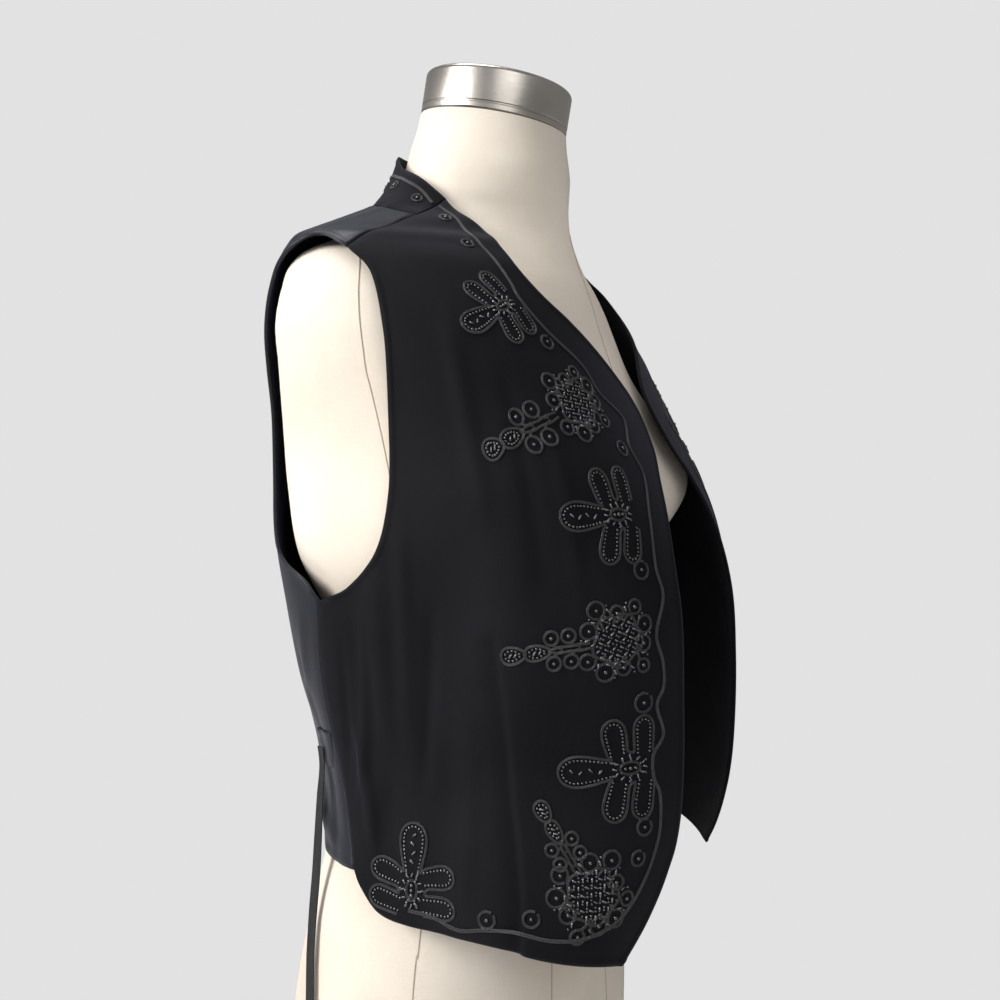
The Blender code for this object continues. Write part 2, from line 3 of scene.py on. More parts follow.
import bmesh
import bpy
import numpy as np
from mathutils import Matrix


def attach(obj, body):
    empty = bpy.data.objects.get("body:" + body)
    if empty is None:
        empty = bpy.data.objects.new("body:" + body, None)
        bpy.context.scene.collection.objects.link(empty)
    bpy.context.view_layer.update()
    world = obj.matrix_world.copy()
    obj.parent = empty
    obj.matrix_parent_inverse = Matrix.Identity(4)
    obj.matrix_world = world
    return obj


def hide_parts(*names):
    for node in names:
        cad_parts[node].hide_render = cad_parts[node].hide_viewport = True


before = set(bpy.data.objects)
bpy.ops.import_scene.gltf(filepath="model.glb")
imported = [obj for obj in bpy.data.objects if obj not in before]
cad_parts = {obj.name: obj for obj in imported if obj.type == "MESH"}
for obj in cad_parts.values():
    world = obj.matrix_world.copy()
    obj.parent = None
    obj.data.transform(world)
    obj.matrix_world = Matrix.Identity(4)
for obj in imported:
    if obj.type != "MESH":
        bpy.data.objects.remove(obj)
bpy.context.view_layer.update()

# Embroidered folk vest on a dress form. Metres; the form faces -Y and the wearer's right is -X.
# A point of the cloth is named by its angle round the body (0 in front, 90 at the wearer's right,
# 180 at the centre back, negative on the left) and its height.

# camera

cameraSettings = {"place": (-0.7069, -0.3296, 0.51), "turn": 65.0, "lens": 37.08, "shiftY": -0.06}

cameraData = bpy.data.cameras.new("viewCamera")
cameraData.lens = cameraSettings["lens"]
cameraData.sensor_width = 36.0
cameraData.shift_y = cameraSettings["shiftY"]
cameraData.clip_start = 0.02
camera = bpy.data.objects.new("viewCamera", cameraData)
bpy.context.scene.collection.objects.link(camera)
camera.location = cameraSettings["place"]
camera.rotation_euler = (math.radians(90), 0, -math.radians(cameraSettings["turn"]))
bpy.context.scene.camera = camera
print("camera set")

# body and cloth surfaces

chestReach = 0.15  # a middling distance from the body's axis to the cloth
degreeLength = 0.0026  # metres round the chest for one degree

# height, half width, front, back, widest line, front and back roundness
formSections = [
    (0.000, 0.154, 0.080, 0.133, 0.027, 2.1, 2.2),
    (0.050, 0.158, 0.084, 0.138, 0.027, 2.1, 2.2),
    (0.100, 0.158, 0.085, 0.136, 0.027, 2.1, 2.2),
    (0.160, 0.151, 0.081, 0.127, 0.025, 2.1, 2.2),
    (0.220, 0.138, 0.075, 0.113, 0.021, 2.1, 2.2),
    (0.260, 0.127, 0.072, 0.103, 0.018, 2.1, 2.2),
    (0.300, 0.121, 0.071, 0.098, 0.016, 2.1, 2.2),
    (0.340, 0.124, 0.075, 0.102, 0.017, 2.1, 2.2),
    (0.380, 0.132, 0.083, 0.109, 0.020, 2.1, 2.2),
    (0.430, 0.144, 0.097, 0.127, 0.024, 2.4, 2.7),
    (0.475, 0.149, 0.108, 0.132, 0.028, 2.6, 2.8),
    (0.520, 0.154, 0.101, 0.132, 0.034, 2.4, 2.8),
    (0.560, 0.162, 0.089, 0.128, 0.040, 2.0, 2.8),
    (0.590, 0.168, 0.079, 0.1235, 0.045, 1.9, 2.8),
    (0.610, 0.169, 0.073, 0.118, 0.047, 1.75, 2.6),
    (0.624, 0.166, 0.068, 0.112, 0.049, 1.6, 2.5),
    (0.634, 0.156, 0.064, 0.105, 0.050, 1.45, 2.4),
    (0.644, 0.135, 0.061, 0.096, 0.049, 1.35, 2.1),
    (0.654, 0.113, 0.058, 0.090, 0.046, 1.3, 2.0),
    (0.664, 0.093, 0.056, 0.085, 0.042, 1.3, 2.0),
    (0.676, 0.076, 0.055, 0.081, 0.036, 1.4, 2.0),
    (0.690, 0.066, 0.054, 0.077, 0.028, 1.7, 2.0),
    (0.705, 0.061, 0.0530, 0.074, 0.021, 2.0, 2.0),
    (0.722, 0.058, 0.0515, 0.069, 0.013, 2.0, 2.0),
    (0.737, 0.0553, 0.0500, 0.063, 0.007, 2.0, 2.0),
    (0.746, 0.0550, 0.0495, 0.0605, 0.0055, 2.0, 2.0),
]
vestSections = [
    (0.170, 0.158, 0.143, 0.124, 0.020, 3.2, 2.0),
    (0.210, 0.155, 0.153, 0.117, 0.018, 3.2, 2.0),
    (0.250, 0.150, 0.163, 0.111, 0.016, 3.0, 2.0),
    (0.300, 0.143, 0.172, 0.115, 0.016, 2.8, 2.3),
    (0.350, 0.146, 0.170, 0.124, 0.018, 3.0, 2.8),
    (0.400, 0.151, 0.164, 0.132, 0.022, 3.2, 2.9),
    (0.440, 0.154, 0.153, 0.137, 0.026, 3.4, 3.0),
    (0.480, 0.156, 0.137, 0.138, 0.030, 3.6, 3.0),
    (0.520, 0.160, 0.118, 0.137, 0.036, 3.2, 3.0),
    (0.560, 0.168, 0.098, 0.133, 0.042, 2.9, 3.0),
    (0.590, 0.173, 0.087, 0.128, 0.047, 2.4, 2.9),
    (0.612, 0.174, 0.080, 0.1225, 0.050, 2.0, 2.7),
    (0.627, 0.173, 0.075, 0.117, 0.052, 1.75, 2.5),
    (0.636, 0.170, 0.072, 0.111, 0.053, 1.55, 2.4),
    (0.643, 0.163, 0.070, 0.107, 0.053, 1.45, 2.3),
    (0.650, 0.147, 0.068, 0.103, 0.052, 1.3, 2.2),
    (0.660, 0.123, 0.065, 0.097, 0.049, 1.3, 2.1),
    (0.670, 0.101, 0.063, 0.092, 0.045, 1.2, 2.0),
    (0.682, 0.084, 0.062, 0.087, 0.038, 1.25, 2.0),
    (0.695, 0.074, 0.061, 0.083, 0.031, 1.6, 2.0),
    (0.710, 0.068, 0.060, 0.080, 0.022, 2.0, 2.0),
    (0.735, 0.064, 0.060, 0.073, 0.012, 2.0, 2.0),
]

formSettings = {
    "around": 176, "upward": 300, "bustAngle": 35.0, "bustHeight": 0.478, "bustRise": 0.027,
    "bustSpread": 22.0, "bustTall": 0.055, "neckTilt": 10.0, "neckStart": 0.700, "neckTop": 0.746,
    "seamRound": 0.0007, "girth": 0.92,
}

# edges of the cut pieces: height and angle
sideSeam = [(0.2355, 96.0), (0.270, 101.0), (0.313, 107.0), (0.360, 107.5), (0.405, 104.5)]
frontArmhole = [
    (0.4155, 95.0), (0.4380, 85.5), (0.4750, 80.5), (0.5224, 77.4), (0.5753, 75.0), (0.6122, 76.4), (0.6305, 81.5),
]
backArmhole = [
    (0.4185, 108.5), (0.4290, 117.0), (0.4420, 125.0), (0.4800, 130.0), (0.5300, 126.0), (0.5815, 113.5),
    (0.6166, 104.0), (0.6310, 96.5), (0.6395, 88.5), (0.6305, 81.5),
]
shoulderSeam = [(0.6305, 81.5), (0.6435, 78.0), (0.6545, 75.0), (0.6630, 72.0)]
bandEnd = [(0.6630, 72.0), (0.6780, 66.0)]
# height and distance from the middle
frontOpening = [
    (0.190, 0.106), (0.215, 0.091), (0.240, 0.080), (0.270, 0.074), (0.350, 0.075), (0.400, 0.071), (0.440, 0.063),
    (0.480, 0.042), (0.505, 0.023), (0.534, 0.017), (0.556, 0.030), (0.587, 0.066), (0.6035, 0.083), (0.6220, 0.090),
    (0.6377, 0.086), (0.6550, 0.0765),
]
frontHem = [
    (0.2355, 96.0), (0.2250, 92.5), (0.2140, 87.5), (0.2105, 80.0), (0.2095, 70.0), (0.2070, 60.0), (0.2010, 52.0),
]
backHem = [(0.2355, 96.0), (0.2350, 112.0), (0.2420, 122.0), (0.2560, 134.0), (0.2650, 150.0), (0.2690, 180.0)]
bandSeam = [(0.6630, 72.0), (0.6720, 93.0), (0.6840, 120.0), (0.6920, 150.0), (0.6950, 180.0)]
backNeck = [(0.6780, 66.0), (0.6937, 86.0), (0.7038, 106.0), (0.7230, 146.0), (0.7280, 180.0)]

# big soft folds, the same on both halves: top height and angle, bottom height and angle, rise, half width in degrees
bigFolds = [
    (0.480, 84.0, 0.270, 92.0, 0.0035, 4.0),
    (0.440, 97.0, 0.240, 88.0, -0.0030, 4.0),
    (0.520, 52.0, 0.240, 60.0, 0.0030, 7.0),
    (0.460, 68.0, 0.215, 74.0, -0.0025, 6.0),
    (0.300, 150.0, 0.245, 108.0, 0.0030, 7.0),
    (0.560, 135.0, 0.320, 142.0, 0.0030, 9.0),
]
# small creases, each on its own side of the body; negative angles are the wearer's left
smallCreases = [
    (0.600, 62.0, 0.470, 60.0, 0.0010, 2.2),
    (0.560, 52.0, 0.430, 50.0, -0.0009, 2.0),
    (0.540, 45.0, 0.420, 44.0, 0.0008, 1.8),
    (0.470, 78.0, 0.330, 82.0, 0.0012, 2.4),
    (0.420, 72.0, 0.300, 78.0, -0.0010, 2.0),
    (0.400, 92.0, 0.290, 96.0, 0.0014, 1.8),
    (0.390, 99.0, 0.300, 101.0, -0.0010, 1.6),
    (0.330, 98.0, 0.255, 91.0, 0.0013, 1.7),
    (0.300, 88.0, 0.235, 84.0, -0.0008, 1.8),
    (0.350, 66.0, 0.225, 68.0, 0.0009, 2.6),
    (0.600, -60.0, 0.460, -63.0, 0.0011, 2.4),
    (0.550, -48.0, 0.440, -51.0, -0.0009, 2.0),
    (0.480, -80.0, 0.310, -84.0, 0.0013, 2.2),
    (0.430, -70.0, 0.280, -75.0, -0.0010, 2.2),
    (0.380, -94.0, 0.270, -97.0, 0.0014, 1.8),
    (0.340, -100.0, 0.250, -90.0, 0.0011, 1.9),
    (0.340, -62.0, 0.220, -66.0, 0.0008, 2.6),
    (0.560, 150.0, 0.430, 138.0, 0.0012, 3.0),
    (0.520, 168.0, 0.400, 164.0, -0.0010, 3.2),
    (0.330, 128.0, 0.260, 120.0, 0.0012, 2.4),
    (0.330, 166.0, 0.280, 160.0, -0.0009, 3.0),
    (0.580, -150.0, 0.420, -142.0, 0.0013, 3.2),
    (0.470, -168.0, 0.340, -165.0, 0.0010, 3.0),
    (0.330, -132.0, 0.262, -122.0, 0.0012, 2.5),
    (0.325, -158.0, 0.275, -150.0, -0.0010, 2.6),
    (0.655, 112.0, 0.590, 122.0, 0.0009, 3.0),
    (0.676, 86.0, 0.640, 91.0, 0.0014, 1.7),
    (0.680, 94.0, 0.638, 97.0, 0.0013, 1.8),
    (0.676, -88.0, 0.640, -92.0, 0.0013, 1.8),
    (0.400, 112.0, 0.330, 118.0, 0.0013, 2.0),
    (0.380, 120.0, 0.300, 113.0, -0.0011, 2.2),
    (0.300, 112.0, 0.240, 104.0, -0.0013, 2.0),
    (0.292, 124.0, 0.238, 112.0, 0.0014, 2.2),
    (0.405, -114.0, 0.320, -119.0, 0.0012, 2.1),
    (0.295, -110.0, 0.240, -103.0, -0.0012, 2.0),
    (0.650, -116.0, 0.600, -128.0, 0.0009, 3.2),
]


def smoothCurve(heights, values, at):
    # a smooth curve through the rows' values, read at the heights asked for
    heights = np.asarray(heights, float)
    values = np.asarray(values, float)
    steps = np.diff(heights)
    rises = np.diff(values) / steps
    slopes = np.empty_like(values)
    slopes[1:-1] = (rises[:-1] * steps[1:] + rises[1:] * steps[:-1]) / (steps[:-1] + steps[1:])
    slopes[0], slopes[-1] = rises[0], rises[-1]
    at = np.clip(at, heights[0], heights[-1])
    row = np.clip(np.searchsorted(heights, at, side="right") - 1, 0, len(steps) - 1)
    step = steps[row]
    part = (at - heights[row]) / step
    rest = 1.0 - part
    low = (1 + 2 * part) * rest**2 * values[row] + part * rest**2 * step * slopes[row]
    return low + part**2 * (3 - 2 * part) * values[row + 1] - part**2 * rest * step * slopes[row + 1]


def sectionAt(table, z):
    rows = np.array(table)
    return [smoothCurve(rows[:, 0], rows[:, i], z) for i in range(1, 7)]


def unit(vectors):
    return vectors / np.linalg.norm(vectors, axis=-1, keepdims=True)


def eased(share):
    share = np.clip(share, 0, 1)
    return share * share * (3 - 2 * share)


def reachOf(section, angle):
    side, front, back, widest, frontRound, backRound = section
    turn = np.radians(angle)
    aside = np.abs(np.sin(turn)) / side
    ahead = np.cos(turn)
    depth = np.where(ahead > 0, front + widest, back - widest)
    power = np.where(ahead > 0, frontRound, backRound)
    return (aside**power + (np.abs(ahead) / depth) ** power) ** (-1 / power)


def placed(section, angle, z, reach):
    turn = np.radians(angle)
    return np.stack([-reach * np.sin(turn), section[3] - reach * np.cos(turn), z + 0 * reach], axis=-1)


def ridgeRise(rows, angle, z):
    rise = 0 * z
    for topZ, topAngle, lowZ, lowAngle, height, spread in rows:
        along = (z - lowZ) / (topZ - lowZ)
        middle = lowAngle + along * (topAngle - lowAngle)
        ends = 1 / (1 + np.exp((along - 0.85) * 14)) / (1 + np.exp((-0.02 - along) * 14))
        rise = rise + height * ends * np.exp(-(((angle - middle) / spread) ** 2))
    return rise


def vestSurface(angle, z):
    section = sectionAt(vestSections, z)
    reach = 0 * (angle + z)
    for shift, share in ((-7, 0.09), (-3.5, 0.21), (0, 0.40), (3.5, 0.21), (7, 0.09)):
        reach = reach + share * reachOf(section, angle + shift)
    creases = 1 + 0.8 / (1 + np.exp((np.abs(angle) - 100) / 2))  # deeper on the soft wool fronts
    rise = ridgeRise(bigFolds, np.abs(angle), z) + creases * ridgeRise(smallCreases, angle, z)
    return placed(section, angle, z, reach + rise)


def clothPoints(angle, z, out=0.0):
    # points of the cloth, moved out along its normal, and those normals
    angle = np.asarray(angle, float)
    z = np.asarray(z, float)
    points = vestSurface(angle, z)
    turned = vestSurface(angle + 0.2, z) - vestSurface(angle - 0.2, z)
    raised = vestSurface(angle, z + 0.0004) - vestSurface(angle, z - 0.0004)
    normal = unit(np.cross(raised, turned))
    return points + normal * np.expand_dims(np.broadcast_to(out, z.shape), -1), normal


def angleAt(z, x):
    low, high = np.zeros_like(z), np.full_like(z, 85.0)
    for _ in range(40):
        middle = (low + high) / 2
        section = sectionAt(vestSections, z)
        wide = reachOf(section, middle) * np.sin(np.radians(middle)) < x
        low, high = np.where(wide, middle, low), np.where(wide, high, middle)
    return (low + high) / 2


def evenly(edge, count):
    # an edge as evenly spaced points of height and angle
    rows = np.array(edge, float)
    knots = np.arange(len(rows))
    fine = np.linspace(0, len(rows) - 1, 60 * len(rows))
    z = smoothCurve(knots, rows[:, 0], fine)
    angle = smoothCurve(knots, rows[:, 1], fine)
    section = sectionAt(vestSections, z)
    points = placed(section, angle, z, reachOf(section, angle))
    length = np.concatenate([[0], np.cumsum(np.linalg.norm(np.diff(points, axis=0), axis=1))])
    at = np.linspace(0, length[-1], count)
    return np.stack([np.interp(at, length, z), np.interp(at, length, angle)], axis=-1)


def onVest(points):
    # height and angle of the cloth beyond each point, seen from inside the body
    eye = np.zeros_like(points)
    eye[..., 0] = 0.75 * eased((points[..., 2] - 0.54) / 0.06) * points[..., 0]
    eye[..., 2] = np.minimum(points[..., 2], 0.585)
    eye[..., 1] = sectionAt(vestSections, eye[..., 2])[3]
    sight = unit(points - eye)
    near, far = np.zeros(points.shape[:-1]), np.full(points.shape[:-1], 0.35)
    for _ in range(34):
        middle = (near + far) / 2
        probe = eye + sight * middle[..., None]
        section = sectionAt(vestSections, probe[..., 2])
        angle = np.degrees(np.arctan2(-probe[..., 0], section[3] - probe[..., 1]))
        reach = np.hypot(probe[..., 0], section[3] - probe[..., 1])
        inside = reach < reachOf(section, angle) + ridgeRise(bigFolds, np.abs(angle), probe[..., 2])
        near, far = np.where(inside, middle, near), np.where(inside, far, middle)
    return probe[..., 2], angle


def panelPatch(bottom, top, left, right):
    # the grid of heights and angles between four edges that meet at their corners
    u = np.linspace(0, 1, len(bottom))[None, :, None]
    v = np.linspace(0, 1, len(left))[:, None, None]

    def spot(edge):
        section = sectionAt(vestSections, edge[:, 0])
        rise = ridgeRise(bigFolds, np.abs(edge[:, 1]), edge[:, 0])
        return placed(section, edge[:, 1], edge[:, 0], reachOf(section, edge[:, 1]) + rise)

    low, high, start, end = spot(bottom), spot(top), spot(left), spot(right)
    across = (1 - v) * low[None] + v * high[None]
    along = (1 - u) * start[:, None] + u * end[:, None]
    corners = (1 - v) * ((1 - u) * low[0] + u * low[-1]) + v * ((1 - u) * high[0] + u * high[-1])
    z, angle = onVest(across + along - corners)
    for grid, column in ((z, 0), (angle, 1)):
        grid[0], grid[-1] = bottom[:, column], top[:, column]
        grid[:, 0], grid[:, -1] = left[:, column], right[:, column]
    return z, angle


def evened(z, angle, rounds):
    # moves the inner points for a given number of rounds, to even out cells that fold over one another, and leaves the
    # edges
    grid = np.stack([angle * degreeLength, z], axis=-1)
    for _ in range(rounds):
        a = (grid[1:-1, 2:] - grid[1:-1, :-2]) / 2
        b = (grid[2:, 1:-1] - grid[:-2, 1:-1]) / 2
        aa, ab, bb = ((m * n).sum(-1, keepdims=True) for m, n in ((a, a), (a, b), (b, b)))
        cross = grid[2:, 2:] - grid[2:, :-2] - grid[:-2, 2:] + grid[:-2, :-2]
        along = bb * (grid[1:-1, 2:] + grid[1:-1, :-2]) + aa * (grid[2:, 1:-1] + grid[:-2, 1:-1])
        grid[1:-1, 1:-1] = (along - ab * cross / 2) / (2 * (aa + bb))
    return grid[..., 1], grid[..., 0] / degreeLength


# mesh helpers


def linked(name, data):
    obj = bpy.data.objects.new(name, data)
    bpy.context.scene.collection.objects.link(obj)
    return obj


def finished(work, name, material, sharp=180):
    # an object of the work's faces, turned outward and smooth up to a sharp angle
    bmesh.ops.recalc_face_normals(work, faces=work.faces)
    mesh = bpy.data.meshes.new(name)
    work.to_mesh(mesh)
    work.free()
    mesh.materials.append(material)
    mesh.shade_smooth()
    mesh.set_sharp_from_angle(angle=math.radians(sharp))
    return linked(name, mesh)


def clothShell(name, points, uv, wall, material):
    rows, columns = points.shape[:2]
    index = np.arange(rows * columns).reshape(rows, columns)
    quads = np.stack([index[:-1, :-1], index[:-1, 1:], index[1:, 1:], index[1:, :-1]], axis=-1).reshape(-1, 4)
    mesh = bpy.data.meshes.new(name)
    mesh.from_pydata(points.reshape(-1, 3).tolist(), [], quads.tolist())
    layer = mesh.uv_layers.new(name="cloth")
    layer.data.foreach_set("uv", uv.reshape(-1, 2)[quads.reshape(-1)].astype(np.float32).reshape(-1))
    mesh.materials.append(material)
    mesh.shade_smooth()
    obj = linked(name, mesh)
    shell = obj.modifiers.new("wall", "SOLIDIFY")
    shell.thickness = wall
    shell.offset = 0.0
    return obj


def plainMesh(obj, name):
    # the evaluated object as a plain mesh of its own
    graph = bpy.context.evaluated_depsgraph_get()
    mesh = bpy.data.meshes.new_from_object(obj.evaluated_get(graph), preserve_all_data_layers=True, depsgraph=graph)
    mesh.name = name
    bpy.data.objects.remove(obj)
    return linked(name, mesh)


# shader groups


def nodeOf(tree, kind, inputs=(), **settings):
    # a node with its settings, each input set to a value or joined to a socket
    node = tree.nodes.new(kind)
    for name, value in settings.items():
        setattr(node, name, value)
    for label, value in dict(inputs).items():
        if isinstance(value, bpy.types.NodeSocket):
            tree.links.new(value, node.inputs[label])
        else:
            node.inputs[label].default_value = value
    return node


def mathNode(tree, operation, first, second=None):
    values = {i: value for i, value in enumerate((first, second)) if value is not None}
    return nodeOf(tree, "ShaderNodeMath", values, operation=operation).outputs[0]


def newTree(name, kind, inputs, outputs):
    tree = bpy.data.node_groups.new(name, kind)
    for label, socketType, value in inputs:
        socket = tree.interface.new_socket(label, in_out="INPUT", socket_type="NodeSocket" + socketType)
        if value is not None:
            socket.default_value = value
    for label, socketType in outputs:
        tree.interface.new_socket(label, in_out="OUTPUT", socket_type="NodeSocket" + socketType)
    return tree, tree.nodes.new("NodeGroupInput").outputs


def weaveGroup():
    # threads crossing at right angles or on a slant, with slubs: Height for a bump and Shade for the colour
    group, given = newTree(
        "wovenCloth", "ShaderNodeTree",
        [("Vector", "Vector", None), ("Thread", "Float", 0.001), ("Slant", "Float", 0.0), ("Slub", "Float", 0.5)],
        [("Height", "Float"), ("Shade", "Float")],
    )
    split = nodeOf(group, "ShaderNodeSeparateXYZ", {0: given["Vector"]}).outputs
    turns = mathNode(group, "DIVIDE", 2 * math.pi, given["Thread"])
    lean = mathNode(group, "MULTIPLY", split[1], given["Slant"])
    warp = mathNode(group, "SINE", mathNode(group, "MULTIPLY", mathNode(group, "ADD", split[0], lean), turns))
    weft = mathNode(group, "SINE", mathNode(group, "MULTIPLY", split[1], turns))
    cross = mathNode(group, "MULTIPLY", warp, weft)
    slubs = []
    for scale in ((90.0, 900.0, 90.0), (900.0, 90.0, 90.0)):
        mapping = nodeOf(group, "ShaderNodeMapping", {"Vector": given["Vector"], "Scale": scale})
        noise = {"Vector": mapping.outputs[0], "Scale": 1.0, "Detail": 2.0}
        slubs.append(nodeOf(group, "ShaderNodeTexNoise", noise).outputs["Fac"])
    slub = mathNode(group, "SUBTRACT", mathNode(group, "ADD", *slubs), 1.0)
    uneven = mathNode(group, "MULTIPLY", slub, given["Slub"])
    height = mathNode(group, "ADD", mathNode(group, "MULTIPLY", cross, 0.5), uneven)
    shade = mathNode(group, "ADD", mathNode(group, "MULTIPLY", uneven, 0.5), 0.5)
    nodeOf(group, "NodeGroupOutput", {"Height": height, "Shade": shade})
    return group


def toneGroup():
    # slow changes of tone over a piece, as from handling and fading
    group, given = newTree(
        "slowTone", "ShaderNodeTree",
        [("Vector", "Vector", None), ("Size", "Float", 9.0), ("Dark", "Color", None), ("Light", "Color", None),
         ("Shade", "Float", 0.5)],
        [("Color", "Color")],
    )
    noise = nodeOf(group, "ShaderNodeTexNoise", {"Vector": given["Vector"], "Scale": given["Size"], "Detail": 3.0})
    spread = mathNode(group, "MULTIPLY", mathNode(group, "SUBTRACT", noise.outputs["Fac"], 0.5), 1.6)
    shade = mathNode(group, "MULTIPLY", given["Shade"], 0.4)
    level = mathNode(group, "ADD", mathNode(group, "ADD", spread, 0.32), shade)
    colours = {"Factor": level, 6: given["Dark"], 7: given["Light"]}
    mix = nodeOf(group, "ShaderNodeMix", colours, data_type="RGBA")
    nodeOf(group, "NodeGroupOutput", {"Color": mix.outputs[2]})
    return group


weave = weaveGroup()
tone = toneGroup()


def newMaterial(name, size, dark, light, **values):
    # a material whose colour drifts between two tones over the object
    material = bpy.data.materials.new(name)
    material.use_nodes = True
    tree = material.node_tree
    shader = tree.nodes["Principled BSDF"]
    for label, value in values.items():
        shader.inputs[label.replace("_", " ")].default_value = value
    where = nodeOf(tree, "ShaderNodeTexCoord").outputs
    tones = {"Vector": where["Object"], "Size": size, "Dark": (*dark, 1), "Light": (*light, 1)}
    shade = nodeOf(tree, "ShaderNodeGroup", tones, node_tree=tone)
    tree.links.new(shade.outputs["Color"], shader.inputs["Base Color"])
    return material, where, shade.inputs["Shade"]


def embossed(material, height, strength, distance):
    tree = material.node_tree
    relief = nodeOf(tree, "ShaderNodeBump", {"Height": height, "Strength": strength, "Distance": distance})
    tree.links.new(relief.outputs["Normal"], tree.nodes["Principled BSDF"].inputs["Normal"])
    return material


def fabric(name, dark, light, thread, slant, slub, bump, patches, coordinates="UV", **values):
    material, where, shade = newMaterial(name, patches, dark, light, **values)
    tree = material.node_tree
    cloth = {"Vector": where[coordinates], "Thread": thread, "Slant": slant, "Slub": slub}
    threads = nodeOf(tree, "ShaderNodeGroup", cloth, node_tree=weave).outputs
    tree.links.new(threads["Shade"], shade)
    return embossed(material, threads["Height"], bump, thread * 0.5)


wool = fabric(
    "blackWool", (0.0030, 0.0030, 0.0038), (0.0078, 0.0077, 0.0098), 0.0008, 1.0, 0.5, 0.30, 14.0, Roughness=0.66,
    Sheen_Weight=0.07, Sheen_Roughness=0.40, Sheen_Tint=(0.58, 0.60, 0.85, 1), Specular_IOR_Level=0.08,
)
satin = fabric(
    "blackSatin", (0.0052, 0.0055, 0.0085), (0.0110, 0.0118, 0.0180), 0.0007, 0.35, 0.3, 0.16, 18.0, Roughness=0.38,
    Sheen_Weight=0.05, Sheen_Roughness=0.35, Sheen_Tint=(0.50, 0.60, 0.95, 1), Specular_IOR_Level=0.24,
)
linen = fabric(
    "creamLinen", (0.60, 0.505, 0.41), (0.86, 0.785, 0.685), 0.0012, 0.0, 0.9, 0.45, 7.0, Roughness=0.88,
    Sheen_Weight=0.12, Sheen_Roughness=0.5, Specular_IOR_Level=0.25,
)
seamLinen = fabric(
    "seamLinen", (0.34, 0.285, 0.22), (0.46, 0.39, 0.31), 0.0012, 0.0, 0.9, 0.3, 7.0, coordinates="Object",
    Roughness=0.9, Specular_IOR_Level=0.2,
)
ribbon = fabric(
    "blackRibbon", (0.0030, 0.0030, 0.0036), (0.0080, 0.0078, 0.0082), 0.0009, 0.0, 0.3, 0.5, 30.0, Roughness=0.42,
    Sheen_Weight=0.05, Sheen_Roughness=0.4, Specular_IOR_Level=0.3,
)
braidCord = fabric(
    "blackBraid", (0.0060, 0.0062, 0.0068), (0.0180, 0.0183, 0.0190), 0.0008, 0.8, 0.6, 0.6, 60.0,
    coordinates="Object", Roughness=0.36, Sheen_Weight=0.15, Sheen_Roughness=0.35, Sheen_Tint=(0.8, 0.8, 0.9, 1),
    Specular_IOR_Level=0.6,
)


def beadGlass(name, dark, light, roughness):
    # glass beads whose tone changes from bead to bead
    gloss = {"Specular_IOR_Level": 0.8, "Coat_Weight": 0.8, "Coat_Roughness": 0.05}
    return newMaterial(name, 330.0, dark, light, Roughness=roughness, **gloss)[0]


def brushedNickel():
    material, where, shade = newMaterial(
        "brushedNickel", 30.0, (0.34, 0.315, 0.28), (0.52, 0.49, 0.45), Metallic=1.0, Roughness=0.27, Anisotropic=0.6)
    tree = material.node_tree
    mapping = nodeOf(tree, "ShaderNodeMapping", {"Vector": where["Object"], "Scale": (40, 40, 1800)})
    noise = {"Vector": mapping.outputs[0], "Scale": 1.0, "Detail": 4.0}
    scratches = nodeOf(tree, "ShaderNodeTexNoise", noise).outputs["Fac"]
    tree.links.new(scratches, shade)
    return embossed(material, scratches, 0.12, 0.0004)


jet = beadGlass("jetBead", (0.003, 0.003, 0.004), (0.030, 0.030, 0.034), 0.10)
bugleJet = beadGlass("bugleBead", (0.008, 0.008, 0.010), (0.110, 0.110, 0.118), 0.16)
nickel = brushedNickel()
print("materials made")

# dress form


def leaned(points):
    # the neck's top slants forward
    start, top = formSettings["neckStart"], formSettings["neckTop"]
    moved = points.copy()
    lean = math.tan(math.radians(formSettings["neckTilt"]))
    moved[..., 2] += eased((points[..., 2] - start) / (top - start)) * points[..., 1] * lean
    return moved


def formPoints(angle, z):
    section = sectionAt(formSections, z)
    across = (np.abs(angle) - formSettings["bustAngle"]) / formSettings["bustSpread"]
    up = (z - formSettings["bustHeight"]) / formSettings["bustTall"]
    reach = reachOf(section, angle) + formSettings["bustRise"] * np.exp(-(across**2) - up**2)
    return leaned(placed(section, angle, z, reach))


def makeForm():
    around = formSettings["around"]
    z = np.linspace(0, formSettings["neckTop"], formSettings["upward"])
    turn = np.linspace(0, 360, around, endpoint=False)
    angle = np.where(turn > 180, turn - 360, turn)
    rings = formPoints(angle[None, :] + 0 * z[:, None], z[:, None] + 0 * angle[None, :])
    work = bmesh.new()
    loops = [[work.verts.new(p) for p in ring] for ring in rings]
    uv = work.loops.layers.uv.new("cloth")
    for r in range(len(loops) - 1):
        for i in range(around):
            j = (i + 1) % around
            face = work.faces.new((loops[r][i], loops[r][j], loops[r + 1][j], loops[r + 1][i]))
            for loop, (a, b) in zip(face.loops, ((i, r), (i + 1, r), (i + 1, r + 1), (i, r + 1))):
                loop[uv].uv = (a * formSettings["girth"] / around, z[b])
    for ring in (loops[0], loops[-1]):
        centre = work.verts.new(np.mean([v.co for v in ring], axis=0))
        for i in range(around):
            work.faces.new((ring[i], ring[(i + 1) % around], centre))
    return finished(work, "formCover", linen, 50)


